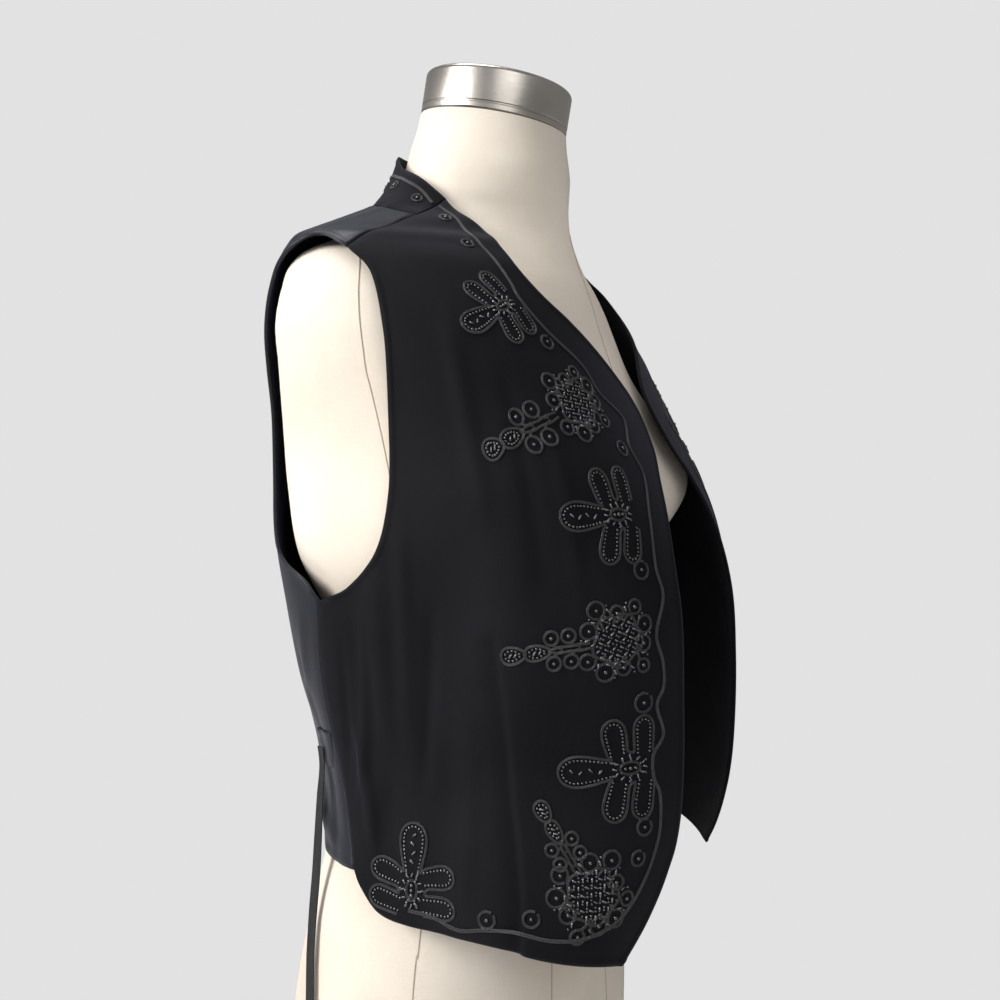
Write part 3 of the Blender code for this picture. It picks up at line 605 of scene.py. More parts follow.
formSeamRows = {
    "sideFront": [(0.0, 76.0), (0.170, 77.6), (0.191, 77.3), (0.300, 78.0), (0.420, 80.0), (0.5225, 82.0),
                  (0.5432, 82.4), (0.5569, 82.6), (0.5858, 81.6), (0.6052, 81.2), (0.6238, 81.1), (0.6340, 84.0)],
    "princessFront": [(0.0, 38.0), (0.12, 37.0), (0.30, 33.0), (0.42, 35.0), (0.478, 37.0), (0.54, 42.0)],
    "princessBack": [(0.0, 152.0), (0.15, 153.0), (0.26, 155.0)],
    "middleBack": [(0.0, 180.0), (0.15, 180.0), (0.26, 180.0)],
    "middleFront": [(0.0, 0.0), (0.40, 0.0), (0.660, 0.0)],
}


def tubeMesh(name, paths, radius, sides, material):
    # round tubes along lines of points, closed at both ends
    work = bmesh.new()
    turns = np.arange(sides) * 2 * math.pi / sides
    for points in paths:
        along = unit(np.gradient(points, axis=0))
        up = np.array([0, 0, 1.0]) if abs(along[0][2]) < 0.9 else np.array([0, 1.0, 0])
        rings = []
        for point, ahead in zip(points, along):
            side = unit(np.cross(ahead, up))
            up = np.cross(side, ahead)
            rings.append([work.verts.new(point + radius * (math.cos(t) * side + math.sin(t) * up)) for t in turns])
        for low, high in zip(rings, rings[1:]):
            for i in range(sides):
                work.faces.new((low[i], low[(i + 1) % sides], high[(i + 1) % sides], high[i]))
        work.faces.new(rings[0])
        work.faces.new(rings[-1])
    return finished(work, name, material)


def makeFormSeams():
    paths = []
    for name, rows in formSeamRows.items():
        rows = np.array(rows)
        knots = np.arange(len(rows))
        fine = np.linspace(0, len(rows) - 1, 160)
        z, angle = smoothCurve(knots, rows[:, 0], fine), smoothCurve(knots, rows[:, 1], fine)
        z = np.clip(z, 0.0012, 0.744)
        middle = np.stack([0 * z, 0.02 + 0 * z, z], axis=-1)
        for side in (1,) if name.startswith("middle") else (1, -1):
            points = formPoints(side * angle, z)
            paths.append(points + unit(middle - points) * formSettings["seamRound"] * 0.55)
    return tubeMesh("formSeams", paths, formSettings["seamRound"], 6, seamLinen)


capSettings = {
    "radius": 0.0556, "height": 0.0310, "round": 0.0035, "lip": 0.0006, "set": 0.0055, "gap": 0.0006, "steps": 128,
}


def makeCap():
    # a turned disc with a rounded upper rim and a fine groove near its foot, square to the leaning neck
    radius, height, corner = capSettings["radius"], capSettings["height"], capSettings["round"]
    groove = radius - capSettings["lip"]
    profile = [(0.0, height), (radius * 0.5, height)]
    for turn in np.radians(np.linspace(90, 0, 9)):
        profile.append((radius - corner + corner * math.cos(turn), height - corner + corner * math.sin(turn)))
    profile += [(radius, 0.0060), (groove, 0.0054), (groove, 0.0046), (radius, 0.0040), (radius, 0.0008),
                (radius - 0.0008, 0.0), (0.0, 0.0)]
    tilt = math.radians(formSettings["neckTilt"])
    cosine, sine = math.cos(tilt), math.sin(tilt)
    foot = formSettings["neckTop"] + capSettings["set"] * math.tan(tilt) + capSettings["gap"]
    work = bmesh.new()
    rings = []
    for r, z in profile:
        turns = np.arange(capSettings["steps"] if r > 0 else 1) * 2 * math.pi / capSettings["steps"]
        spots = [(r * math.cos(t), r * math.sin(t)) for t in turns]
        rings.append([work.verts.new((x, capSettings["set"] + y * cosine - z * sine, foot + y * sine + z * cosine))
                      for x, y in spots])
    for a, b in zip(rings, rings[1:]):
        count = max(len(a), len(b))
        for i in range(count):
            j = (i + 1) % count
            corners = [a[i % len(a)], a[j % len(a)], b[j % len(b)], b[i % len(b)]]
            work.faces.new(list(dict.fromkeys(corners)))
    return finished(work, "neckCapMetal", nickel, 40)


form = makeForm()
formSeams = makeFormSeams()
cap = makeCap()
print("dress form made")

# vest panels

panelSettings = {
    "wall": 0.0019, "gap": 0.0003, "frontAcross": 150, "frontUp": 210, "backAcross": 88, "backUp": 190, "bandUp": 20,
    "edgeRoll": 0.0007, "edgeWidth": 0.00175, "edgeInset": 0.002, "seamSink": 0.0008, "seamWidth": 0.0030,
    "dartSink": 0.0019, "dartWidth": 0.0016, "dartLap": 0.0075, "belowArmhole": 0.37, "armholeFoot": 0.408,
    "bandColumns": 26, "shoulderColumns": 48, "neckColumns": 70, "evenRounds": 120,
}
seamTurn = math.degrees(panelSettings["gap"] / 2 / chestReach)
dartLine = [(0.2330, 55.8), (0.2790, 57.2), (0.3450, 58.8), (0.3960, 60.0)]  # height and angle


def edgeDistance(points):
    # how far each point of a grid is from the grid's left, right, bottom and top edges, along the grid lines
    across = np.linalg.norm(np.diff(points, axis=1), axis=2)
    along = np.linalg.norm(np.diff(points, axis=0), axis=2)
    left = np.concatenate([np.zeros((points.shape[0], 1)), np.cumsum(across, axis=1)], axis=1)
    low = np.concatenate([np.zeros((1, points.shape[1])), np.cumsum(along, axis=0)], axis=0)
    return left, left[:, -1:] - left, low, low[-1:] - low


def bump(distance, width):
    return np.exp(-((distance / width) ** 2))


def rolled(distance):
    # the swell where the cloth turns over at an edge
    return panelSettings["edgeRoll"] * bump(distance - panelSettings["edgeInset"], panelSettings["edgeWidth"])


def sunk(distance):
    # the dip beside a seam
    return panelSettings["seamSink"] * bump(distance, panelSettings["seamWidth"])


def sideEdge(armhole, upward, turn):
    # the side seam and the armhole above it, moved off the seam's line
    below = int(upward * panelSettings["belowArmhole"])
    side = evenly(sideSeam, below)
    return np.concatenate([side + [0, turn], evenly(sideSeam[-1:] + armhole, upward - below + 1)[1:]])


def bodyPatch(bottom, top, left, right, turn):
    # a front or back, with the four edges' corners made one
    left[-1] = top[0]
    left[0] = bottom[0] = bottom[0] + [0, turn]
    right[-1] = top[-1]
    right[0] = bottom[-1]
    return panelPatch(bottom, top, left, right)


def frontPatch():
    left = sideEdge(frontArmhole, panelSettings["frontUp"], -seamTurn)
    band = panelSettings["bandColumns"]
    shoulder = evenly(shoulderSeam, panelSettings["frontAcross"] - band + 1)
    top = np.concatenate([shoulder, evenly(bandEnd, band)[1:]]) + [-panelSettings["gap"] / 2, -2 * seamTurn]
    rows = np.array(frontOpening)
    opening = list(zip(rows[:, 0], angleAt(rows[:, 0], rows[:, 1]))) + [bandEnd[-1]]
    right = evenly(opening, len(left))
    return bodyPatch(evenly(frontHem + opening[:1], len(top)), top, left, right, -seamTurn)


def backPatch():
    left = sideEdge(backArmhole, panelSettings["backUp"], seamTurn)
    gap, count = panelSettings["gap"], panelSettings["shoulderColumns"]
    shoulder = evenly(shoulderSeam, count) + [gap / 2, 2 * seamTurn]
    neck = evenly(bandSeam, panelSettings["backAcross"] - count + 1) + [-2 * gap, 0]
    shoulder[-1] += [-2 * gap, 0]
    top = np.concatenate([shoulder, neck[1:]])
    right = evenly([backHem[-1], bandSeam[-1]], len(left))
    z, angle = bodyPatch(evenly(backHem, len(top)), top, left, right, seamTurn)
    return evened(z, angle, panelSettings["evenRounds"])


def bandPatch():
    shift = np.array([panelSettings["gap"] / 2, 2 * seamTurn])
    end = evenly(bandEnd, panelSettings["bandUp"]) + shift
    seam = evenly(bandSeam, panelSettings["neckColumns"])
    edge = evenly(backNeck, panelSettings["neckColumns"])
    middle = evenly([bandSeam[-1], backNeck[-1]], panelSettings["bandUp"])
    end[0] = seam[0] = seam[0] + shift
    end[-1] = edge[0] = edge[0] + shift
    middle[0], middle[-1] = seam[-1], edge[-1]
    return panelPatch(seam, edge, end, middle)


def sidedShell(name, side, points, z, angle, wall, material):
    # a cloth shell that faces outward on either side of the body
    uv = np.stack([angle * math.radians(1) * chestReach, z], axis=-1)
    if side < 0:
        points, uv = points[:, ::-1], uv[:, ::-1]
    return clothShell(name, points, uv, wall, material)


def dartDepth(points, z, angle):
    rows = np.array(dartLine)
    dartAngle = smoothCurve(rows[:, 0], rows[:, 1], z)
    across = np.radians(angle - dartAngle) * np.hypot(points[..., 0], points[..., 1] - 0.02)
    inDart = 1 / (1 + np.exp((z - rows[-1, 0] + 0.006) * 900))
    width = np.where(across > 0, panelSettings["dartLap"], panelSettings["dartWidth"])
    return panelSettings["dartSink"] * bump(across, width) * inDart


def makeFront(name, side):
    z, angle = frontPatch()
    points, normal = clothPoints(side * angle, z)
    left, right, low, high = edgeDistance(points)
    armhole = z > panelSettings["armholeFoot"]
    rise = rolled(right) + rolled(low) + rolled(left) * armhole
    rise = rise - sunk(left) * ~armhole - sunk(high) - dartDepth(points, z, angle)
    points = points + normal * rise[..., None]
    return sidedShell(name, side, points, z, side * angle, panelSettings["wall"], wool)


def makeWhole(name, patch, riseOf, material):
    # a panel over both halves of the body, joined at the middle of the back
    z, half = patch
    z, angle = np.concatenate([z, z[:, -2::-1]], axis=1), np.concatenate([half, -half[:, -2::-1]], axis=1)
    points, normal = clothPoints(np.where(angle < -179.9, 180.0, angle), z)
    left, right, low, high = edgeDistance(points)
    points = points + normal * riseOf(z, np.minimum(left, right), low, high)[..., None]
    return sidedShell(name, 1, points, z, np.abs(angle), panelSettings["wall"], material)


def backRise(z, edge, low, high):
    armhole = z > panelSettings["armholeFoot"]
    return rolled(low) + rolled(edge) * armhole - sunk(edge) * ~armhole - sunk(high)


def bandRise(z, edge, low, high):
    return rolled(high) - sunk(low) - 0.5 * sunk(edge)


frontRight = makeFront("frontRightWool", 1)
frontLeft = makeFront("frontLeftWool", -1)
back = makeWhole("backSatin", backPatch(), backRise, satin)
band = makeWhole("neckBandWool", bandPatch(), bandRise, wool)
print("vest panels made")

# half belts and ties

beltSettings = {
    "line": [(0.3045, 108.2), (0.3037, 112.5), (0.3025, 117.0)], "length": 0.023, "pucker": 0.0003,
    "width": 0.0240, "wall": 0.0008, "clear": 0.0001, "across": 15, "along": 30,
}


def makeBelt(name, side):
    rows = evenly(beltSettings["line"], beltSettings["along"])
    across = np.linspace(-0.5, 0.5, beltSettings["across"])[:, None]
    share = np.linspace(0, 1, beltSettings["along"])[None, :]
    z = rows[None, :, 0] + across * beltSettings["width"]
    angle = rows[None, :, 1] + 0 * across
    out = panelSettings["wall"] / 2 + beltSettings["clear"] + beltSettings["wall"] / 2
    out = out + beltSettings["pucker"] * np.sin(across * 19) * share**2 - sunk(share * beltSettings["length"])
    points, _ = clothPoints(side * angle, z, out)
    return sidedShell(name, -side, points, z, angle, beltSettings["wall"], satin)


# height, distance from the middle, depth, and the ribbon's turn about its line;
# on the belt the angle stands for the distance, and the depth is worked out
tieRows = [
    (0.3020, 115.5, 0.0000, 0.0),
    (0.2920, 115.2, 0.0000, 0.0),
    (0.2700, 0.1278, 0.0741, 2.0),
    (0.2450, 0.1280, 0.0754, 6.0),
    (0.2150, 0.1280, 0.0774, 10.0),
    (0.1930, 0.1316, 0.0772, 14.0),
    (0.1710, 0.1395, 0.0735, 18.0),
    (0.1430, 0.1480, 0.0682, 22.0),
    (0.1200, 0.1527, 0.0656, 24.0),
    (0.0900, 0.1550, 0.0645, 25.0),
    (0.0550, 0.1555, 0.0645, 24.0),
    (0.0280, 0.1557, 0.0645, 22.0),
]
tieSettings = {"width": 0.0072, "wall": 0.0006, "facing": 62.0, "sewn": 0.0009, "points": 90, "cup": 0.0005}


def onBelt(z, angle, depth, turn):
    if depth:
        return z, angle, depth, turn
    out = panelSettings["wall"] / 2 + beltSettings["clear"] + beltSettings["wall"] + tieSettings["sewn"]
    spot = clothPoints(np.array([angle]), np.array([z]), out)[0][0]
    return z, -spot[0], spot[1], turn


def makeTie(name, side):
    rows = np.array([onBelt(*row) for row in tieRows])[::-1]
    z = np.linspace(rows[-1, 0], rows[0, 0], tieSettings["points"])
    x, y, turn = (smoothCurve(rows[:, 0], rows[:, i], z) for i in (1, 2, 3))
    middle = np.stack([-side * x, y, z], axis=-1)
    facing = np.radians(turn + tieSettings["facing"] + 9 * np.sin((0.30 - z) * 24) * np.clip((0.285 - z) / 0.05, 0, 1))
    outward = np.stack([-side * np.sin(facing), np.cos(facing), 0 * z], axis=-1)
    aside = unit(np.cross(unit(np.gradient(middle, axis=0)), outward))
    across = np.linspace(-0.5, 0.5, 7)[None, :]
    wide = across * tieSettings["width"]
    lift = tieSettings["cup"] * (across * 2) ** 2
    points = middle[:, None] + aside[:, None] * wide[..., None] + outward[:, None] * lift[..., None]
    uv = np.stack(np.broadcast_arrays(wide, z[:, None]), axis=-1)
    if side < 0:
        points, uv = points[:, ::-1], uv[:, ::-1]
    return clothShell(name, points, uv, tieSettings["wall"], ribbon), middle


beltRight = makeBelt("beltRightSatin", 1)
beltLeft = makeBelt("beltLeftSatin", -1)
tieRight, tieRightLine = makeTie("tieRightRibbon", 1)
tieLeft, tieLeftLine = makeTie("tieLeftRibbon", -1)
print("belts and ties made")

# embroidery

# The border braid, as height and angle, down the neck and front edge and along the hem.
borderLine = [
    (0.6715, 66.5), (0.6600, 57.0), (0.6450, 51.5), (0.6290, 47.8), (0.6120, 45.0), (0.5980, 43.4), (0.5780, 38.0),
    (0.5580, 29.6), (0.5400, 26.6), (0.5240, 20.2), (0.5060, 23.2), (0.4880, 22.0), (0.4640, 25.2), (0.4330, 27.3),
    (0.4140, 26.6), (0.3920, 29.4), (0.3740, 28.2), (0.3590, 28.2), (0.3480, 29.8), (0.3300, 28.3), (0.3180, 30.4),
    (0.3040, 30.2), (0.2930, 28.8), (0.2760, 28.6), (0.2610, 29.4), (0.2390, 32.4), (0.2210, 37.2), (0.2130, 43.5),
    (0.2125, 50.0), (0.2170, 57.0), (0.2165, 62.5), (0.2140, 68.0), (0.2180, 74.0), (0.2195, 80.0),
]
bandLine = [
    (0.6735, 70.5), (0.6840, 81.0), (0.6900, 90.0), (0.6950, 99.0), (0.6985, 108.0), (0.7015, 116.0),
    (0.7040, 130.0), (0.7060, 144.0), (0.7105, 158.0), (0.7105, 170.0), (0.7120, 180.0),
]
# small curls beside the border: height, angle, radius
borderCurls = [
    (0.6600, 61.0, 0.0038), (0.6375, 53.6, 0.0040), (0.5716, 39.6, 0.0048), (0.5042, 26.6, 0.0050),
    (0.4306, 31.2, 0.0055), (0.3509, 32.6, 0.0058), (0.2743, 32.2, 0.0050), (0.2560, 33.6, 0.0046),
    (0.2250, 53.9, 0.0048), (0.2225, 62.3, 0.0050),
]
bandCurls = [
    (0.6775, 79.5, 0.0034), (0.6905, 101.0, 0.0034), (0.6960, 124.0, 0.0032), (0.7010, 151.0, 0.0034),
    (0.7190, 165.0, 0.0034),
]

# palmettes: centre height and angle, where the single lobe points in degrees from the front-edge side, size
palmettes = {
    "neck": (0.5943, 48.5, 211.0, 0.86),
    "bust": (0.4642, 33.9, 180.0, 1.0),
    "waist": (0.3114, 34.5, 182.0, 1.06),
    "hem": (0.2300, 79.6, 91.0, 0.98),
}
# each lobe's foot and tip from the centre, along the single lobe and across it, and its width, in millimetres
lobes = [((11, 0), (42.5, 0), 18, 0.58), ((8, 8.5), (13.5, 30), 14.2, 0.84), ((-8, 8.5), (-4, 30.5), 13.6, 0.9),
         ((-7, -8.5), (-7, -30), 13.2, 0.9), ((9, -8.5), (13, -29), 14, 0.84)]
# clusters: centre height and angle, the tail's direction in degrees from the front-edge side, sizes of ring and tail
clusters = {
    "breast": (0.5326, 36.2, 202.0, 1.36, 1.16),
    "ribs": (0.3901, 37.3, 188.0, 1.32, 0.90),
    "corner": (0.2370, 42.7, 119.0, 1.38, 0.80),
}
stitchSettings = {
    "borderWidth": 0.0023, "braidWidth": 0.0016, "braidHeight": 0.0010, "braidSink": 0.0001, "step": 0.0012,
    "seedWidth": 0.0017, "seedHeight": 0.0010, "seedStep": 0.0024, "jetWidth": 0.0024, "jetHeight": 0.0018,
    "bugleWidth": 0.0012, "bugleLength": 0.0030, "bugleLong": 2.6, "beadSeed": 7,
}


def heading(degrees):
    return np.array([math.cos(math.radians(degrees)), math.sin(math.radians(degrees))])


def squared(ahead):
    # the direction a quarter turn on from another, in the flat
    return np.array([-ahead[1], ahead[0]])


def motifFrame(z, angle):
    # a motif's centre on the cloth, its direction towards the front edge, and up
    points, normal = clothPoints(np.array([angle, angle - 0.3]), np.array([z, z]))
    across = unit(points[1] - points[0])
    up = np.cross(across, normal[0])
    return points[0], across, -up if up[2] < 0 else up


def layDown(frameOf, flat):
    # millimetres on the flat design to height and angle on the cloth
    centre, across, up = frameOf
    flat = np.asarray(flat, float) / 1000
    z, angle = onVest(centre + flat[:, :1] * across + flat[:, 1:] * up)
    return np.stack([z, angle], axis=-1)


def footed(tail, tip):
    # a lobe's foot, its length, and its directions along and across
    tail, tip = np.array(tail, float), np.array(tip, float)
    long = np.linalg.norm(tip - tail)
    ahead = (tip - tail) / long
    return tail, long, ahead, squared(ahead)


def petal(tail, tip, width, full=1.0, start=0.0):
    # an almond-shaped loop that leaves its tail, goes round its tip and comes back
    tail, long, ahead, aside = footed(tail, tip)
    t = np.linspace(start, 1 - start, 60)
    along = (1 - np.cos(2 * math.pi * t)) / 2
    wide = -np.sin(2 * math.pi * t) * (0.65 + 0.45 * along)
    middle = tail + ahead * long * 0.56
    points = tail + ahead * (along * long)[:, None] + aside * (wide * width / 2)[:, None]
    return middle + (points - middle) * full


def finger(tail, tip, width, inside=0.0, waist=0.8):
    # a lobe with a round end, from the right of its foot round the tip to the left of its foot
    tail, long, ahead, aside = footed(tail, tip)
    half = width / 2 - inside
    roundEnd = half * 1.15
    straight = max(long - inside - roundEnd, 1.0)
    foot = np.linspace(0.0, 1.0, 16)[:-1]
    swell = waist + (1 - waist) * np.sin(foot * math.pi / 2) ** 1.4
    turn = np.linspace(0, math.pi, 24)
    along = np.concatenate([foot * straight, straight + roundEnd * np.sin(turn), foot[::-1] * straight])
    wide = np.concatenate([-half * swell, -half * np.cos(turn), half * swell[::-1]])
    return tail + ahead * along[:, None] + aside * wide[:, None]


def softened(line, times=3):
    for _ in range(times):
        line = np.concatenate([line[:1], (line[:-2] + 2 * line[1:-1] + line[2:]) / 4, line[-1:]])
    return line


def ringLoop(centre, radius, steps, start=0.0, sweep=360.0):
    t = np.radians(start + np.linspace(0, sweep, steps))
    return np.array(centre) + radius * np.stack([np.cos(t), np.sin(t)], axis=-1)


def spaced(line, step):
    # the line's points at an even step, in the flat
    length = np.concatenate([[0], np.cumsum(np.linalg.norm(np.diff(line, axis=0), axis=1))])
    count = max(2, int(round(length[-1] / step)) + 1)
    at = np.linspace(0, length[-1], count)
    return np.stack([np.interp(at, length, line[:, i]) for i in range(2)], axis=-1)


borderLines, braidLines, seedSpots, jetSpots, bugleSpots = [], [], [], [], []


def addBraid(frameOf, flat):
    braidLines.append(layDown(frameOf, spaced(flat, stitchSettings["step"] * 1000)))


def addSeeds(frameOf, flat):
    seedSpots.append(layDown(frameOf, spaced(flat, stitchSettings["seedStep"] * 1000)))


def addBead(kind, frameOf, *spots):
    kind.append(layDown(frameOf, np.array(spots)))


def addBugle(frameOf, centre, turn, long=stitchSettings["bugleLength"] * 1000):
    # a bugle bead as its two ends
    way = long / 2 * heading(turn)
    addBead(bugleSpots, frameOf, centre - way, centre + way)


def makePalmette(z, angle, turn, size):
    frameOf = motifFrame(z, angle)
    ahead = heading(turn) * size
    aside = squared(ahead)

    def at(x, y):
        return ahead * x + aside * y

    def around(lobe):
        return (math.degrees(math.atan2(lobe[1][1], lobe[1][0])) + 180) % 360

    outline = []
    for foot, tip, width, waist in sorted(lobes, key=around):  # one braid runs from lobe to lobe
        outline.append(finger(at(*foot), at(*tip), width * size, waist=waist))
        addSeeds(frameOf, finger(at(*foot), at(*tip), width * size, inside=2.5, waist=waist))
        if width > 15:
            for share, side in ((0.25, 1), (0.42, -1), (0.60, 1), (0.76, -1)):
                spot = at(foot[0] + (tip[0] - foot[0]) * share, side * 0.6)
                addBugle(frameOf, spot, turn + 48 * side, stitchSettings["bugleLong"])
    addBraid(frameOf, softened(spaced(np.concatenate(outline), 1.1)))
    addBraid(frameOf, np.array([at(*p) for p in ringLoop((0, 0), 1, 24) * [6.2, 3.6] + [1.5, 0.0]]))
    for i in range(12):
        way = heading(i * 30) * [9.4, 6.2] + [1.5, 0.0]
        addBugle(frameOf, at(*way), turn + i * 30 + (25 if i % 2 else -20), 2.8)
        if i % 2:
            addBead(seedSpots, frameOf, at(*(way * 0.72)), at(*(way * 1.25)))
    for x in (-1.6, 1.5, 4.6):
        addBead(jetSpots, frameOf, at(x, 0.0))


def makeCluster(z, angle, tailTurn, ring, size):
    frameOf = motifFrame(z, angle)
    ahead = heading(tailTurn)
    aside = squared(ahead)

    def at(x, y, by=size):
        return (ahead * x + aside * y) * by

    def braid(points, by=size, times=0):
        addBraid(frameOf, softened(np.array([at(*p, by) for p in points]), times))

    for i in range(10):  # uneven loops round the edge, open towards the tail
        step = i * 34.2
        way, aslant, between = heading(26 + step), heading(116 + step), heading(43 + step)
        far = 18.8 + 2.8 * math.sin(i * 2.4 + 0.6)
        loop = ringLoop(way * (far - 3.6), 3.6 + 0.5 * math.sin(i * 1.7), 24, start=200 + step, sweep=345)
        stem = [way * 8.5 + aslant * 2.6, way * (far - 8.4) + aslant * 2.0]
        braid(np.concatenate([stem, loop]), ring, 1)
        addBead(jetSpots, frameOf, at(*(way * (far - 3.8)), ring))
        addBugle(frameOf, at(*(between * 14.5), ring), tailTurn + 43 + step + 30)
        addBead(seedSpots, frameOf, at(*(between * 17.0), ring))
    braid([heading(t) * (11.6 + 1.1 * math.sin(math.radians(t * 5))) for t in range(0, 364, 7)], ring)
    for row in range(-3, 4):  # lattice of bugles with seeds at the crossings
        for column in range(-3, 4):
            x, y = column * 3.7 + (row % 2) * 1.6, row * 3.4
            if math.hypot(x, y) > 11.5:
                continue
            addBugle(frameOf, at(x + 0.9, y, ring), tailTurn + (38 if (row + column) % 2 else -34), 2.8)
            addBead(seedSpots, frameOf, at(x - 1.0, y + 1.1, ring), at(x - 0.4, y - 1.6, ring))
    for x in (32.5, 44):  # paired loops along the tail
        for side in (-1, 1):
            y = 8.6 * side
            loop = ringLoop((x, y), 4.7, 22, start=-100 * side, sweep=350 * side)
            braid(np.concatenate([[[x - 7, y * 0.1], [x - 3.2, y * 0.22]], loop]))
            addBead(jetSpots, frameOf, at(x, y))
    for y in (1.5, -1.5):
        braid([(19, y), (26, y * 1.5), (33, y), (39, y * 1.4), (47, y * 0.3)])
    for tail, tip, width in ((45, 63, 11.5), (62, 79, 13.0)):
        ends = at(tail, 0), at(tip, 0)
        addBraid(frameOf, petal(*ends, width * size))
        addSeeds(frameOf, petal(*ends, width * size, full=0.60, start=0.06))
        for share in (0.42, 0.62):
            addBugle(frameOf, at(tail + (tip - tail) * share, 0), tailTurn + 50, stitchSettings["bugleLong"])


def makeBorder(line, curls):
    rows = evenly(line, 200)
    points, _ = clothPoints(rows[:, 1], rows[:, 0])
    length = np.linalg.norm(np.diff(points, axis=0), axis=1).sum()
    borderLines.append(evenly(line, int(length / stitchSettings["step"])))
    for z, angle, radius in curls:
        frameOf = motifFrame(z, angle)
        addBraid(frameOf, ringLoop((0, 0), radius * 1000, 20, start=60, sweep=340))
        addBead(jetSpots, frameOf, (0.0, 0.0))


# one tree sets beads on points, another sweeps braid along lines


def pieceTree(name, *sizes):
    # a tree with a mesh in and out, its sizes and its finish
    inputs = [("Geometry", "Geometry", None), *sizes, ("Finish", "Material", None)]
    return newTree(name, "GeometryNodeTree", inputs, [("Geometry", "Geometry")])


def named(tree, label):
    node = nodeOf(tree, "GeometryNodeInputNamedAttribute", {"Name": label}, data_type="FLOAT_VECTOR")
    return node.outputs["Attribute"]


def closeTree(tree, geometry, finish):
    # real geometry, shaded smooth, with its finish
    for kind, values in (("RealizeInstances", {}), ("SetShadeSmooth", {}), ("SetMaterial", {"Material": finish})):
        geometry = nodeOf(tree, "GeometryNode" + kind, {"Geometry": geometry, **values}).outputs["Geometry"]
    nodeOf(tree, "NodeGroupOutput", {"Geometry": geometry})
    return tree


def beadTree(name, long):
    tree, given = pieceTree(name, ("Width", "Float", 0.0013), ("Height", "Float", 0.0010), ("Length", "Float", 0.0036),
                            ("Variation", "Float", 0.12), ("Seed", "Int", 1))
    points = nodeOf(tree, "GeometryNodeMeshToPoints", {"Mesh": given["Geometry"]})
    if long:
        bead = nodeOf(tree, "GeometryNodeMeshCylinder", {"Vertices": 7, "Radius": 0.5, "Depth": 1.0})
    else:
        bead = nodeOf(tree, "GeometryNodeMeshUVSphere", {"Segments": 8, "Rings": 5, "Radius": 0.5})
    axes = [named(tree, label) for label in (("heading", "facing") if long else ("facing", "heading"))]
    axes = {"Primary Axis": axes[0], "Secondary Axis": axes[1]}
    turn = nodeOf(tree, "FunctionNodeAxesToRotation", axes, primary_axis="Z", secondary_axis="X")
    vary = nodeOf(tree, "FunctionNodeRandomValue", {"Seed": given["Seed"]}, data_type="FLOAT")
    limits = [s for s in vary.inputs if s.type == "VALUE" and s.name in ("Min", "Max")]
    for limit, operation in zip(limits, ("SUBTRACT", "ADD")):
        tree.links.new(mathNode(tree, operation, 1.0, given["Variation"]), limit)
    tall = given["Length" if long else "Height"]
    size = nodeOf(tree, "ShaderNodeCombineXYZ", {"X": given["Width"], "Y": given["Width"], "Z": tall})
    share = next(s for s in vary.outputs if s.type == "VALUE")
    scale = nodeOf(tree, "ShaderNodeVectorMath", {0: size.outputs[0], "Scale": share}, operation="SCALE")
    places = {"Points": points.outputs["Points"], "Instance": bead.outputs["Mesh"],
              "Rotation": turn.outputs["Rotation"], "Scale": scale.outputs["Vector"]}
    beads = nodeOf(tree, "GeometryNodeInstanceOnPoints", places)
    return closeTree(tree, beads.outputs["Instances"], given["Finish"])


def braidTree():
    tree, given = pieceTree("soutacheBraid", ("Width", "Float", 0.0025), ("Height", "Float", 0.0010))
    line = nodeOf(tree, "GeometryNodeMeshToCurve", {"Mesh": given["Geometry"]})
    raised = {"Curve": line.outputs["Curve"], "Normal": named(tree, "facing")}
    raised = nodeOf(tree, "GeometryNodeSetCurveNormal", raised, mode="FREE")
    circle = nodeOf(tree, "GeometryNodeCurvePrimitiveCircle", {"Resolution": 6, "Radius": 0.5})
    ribs = nodeOf(tree, "GeometryNodeJoinGeometry")
    half = mathNode(tree, "MULTIPLY", given["Width"], 0.52)
    for side in (-1, 1):  # the two ribs of the braid
        aside = nodeOf(tree, "ShaderNodeCombineXYZ", {"Y": mathNode(tree, "MULTIPLY", given["Width"], 0.24 * side)})
        scale = nodeOf(tree, "ShaderNodeCombineXYZ", {"X": given["Height"], "Y": half, "Z": 1.0})
        rib = {"Geometry": circle.outputs["Curve"], "Translation": aside.outputs[0], "Scale": scale.outputs[0]}
        tree.links.new(nodeOf(tree, "GeometryNodeTransform", rib).outputs["Geometry"], ribs.inputs["Geometry"])
    swept = {"Curve": raised.outputs["Curve"], "Profile Curve": ribs.outputs["Geometry"], "Fill Caps": True}
    return closeTree(tree, nodeOf(tree, "GeometryNodeCurveToMesh", swept).outputs["Mesh"], given["Finish"])


def withTree(name, obj, tree, values):
    modifier = obj.modifiers.new("nodes", "NODES")
    modifier.node_group = tree
    for item in tree.interface.items_tree:
        if item.item_type == "SOCKET" and item.in_out == "INPUT" and item.name in values:
            modifier[item.identifier] = values[item.name]
    return plainMesh(obj, name)


def pointMesh(name, points, facing, heading, edges=()):
    mesh = bpy.data.meshes.new(name)
    mesh.from_pydata(points.tolist(), list(edges), [])
    for label, values in (("facing", facing), ("heading", heading)):
        layer = mesh.attributes.new(label, "FLOAT_VECTOR", "POINT")
        layer.data.foreach_set("vector", values.astype(np.float32).reshape(-1))
    return linked(name, mesh)


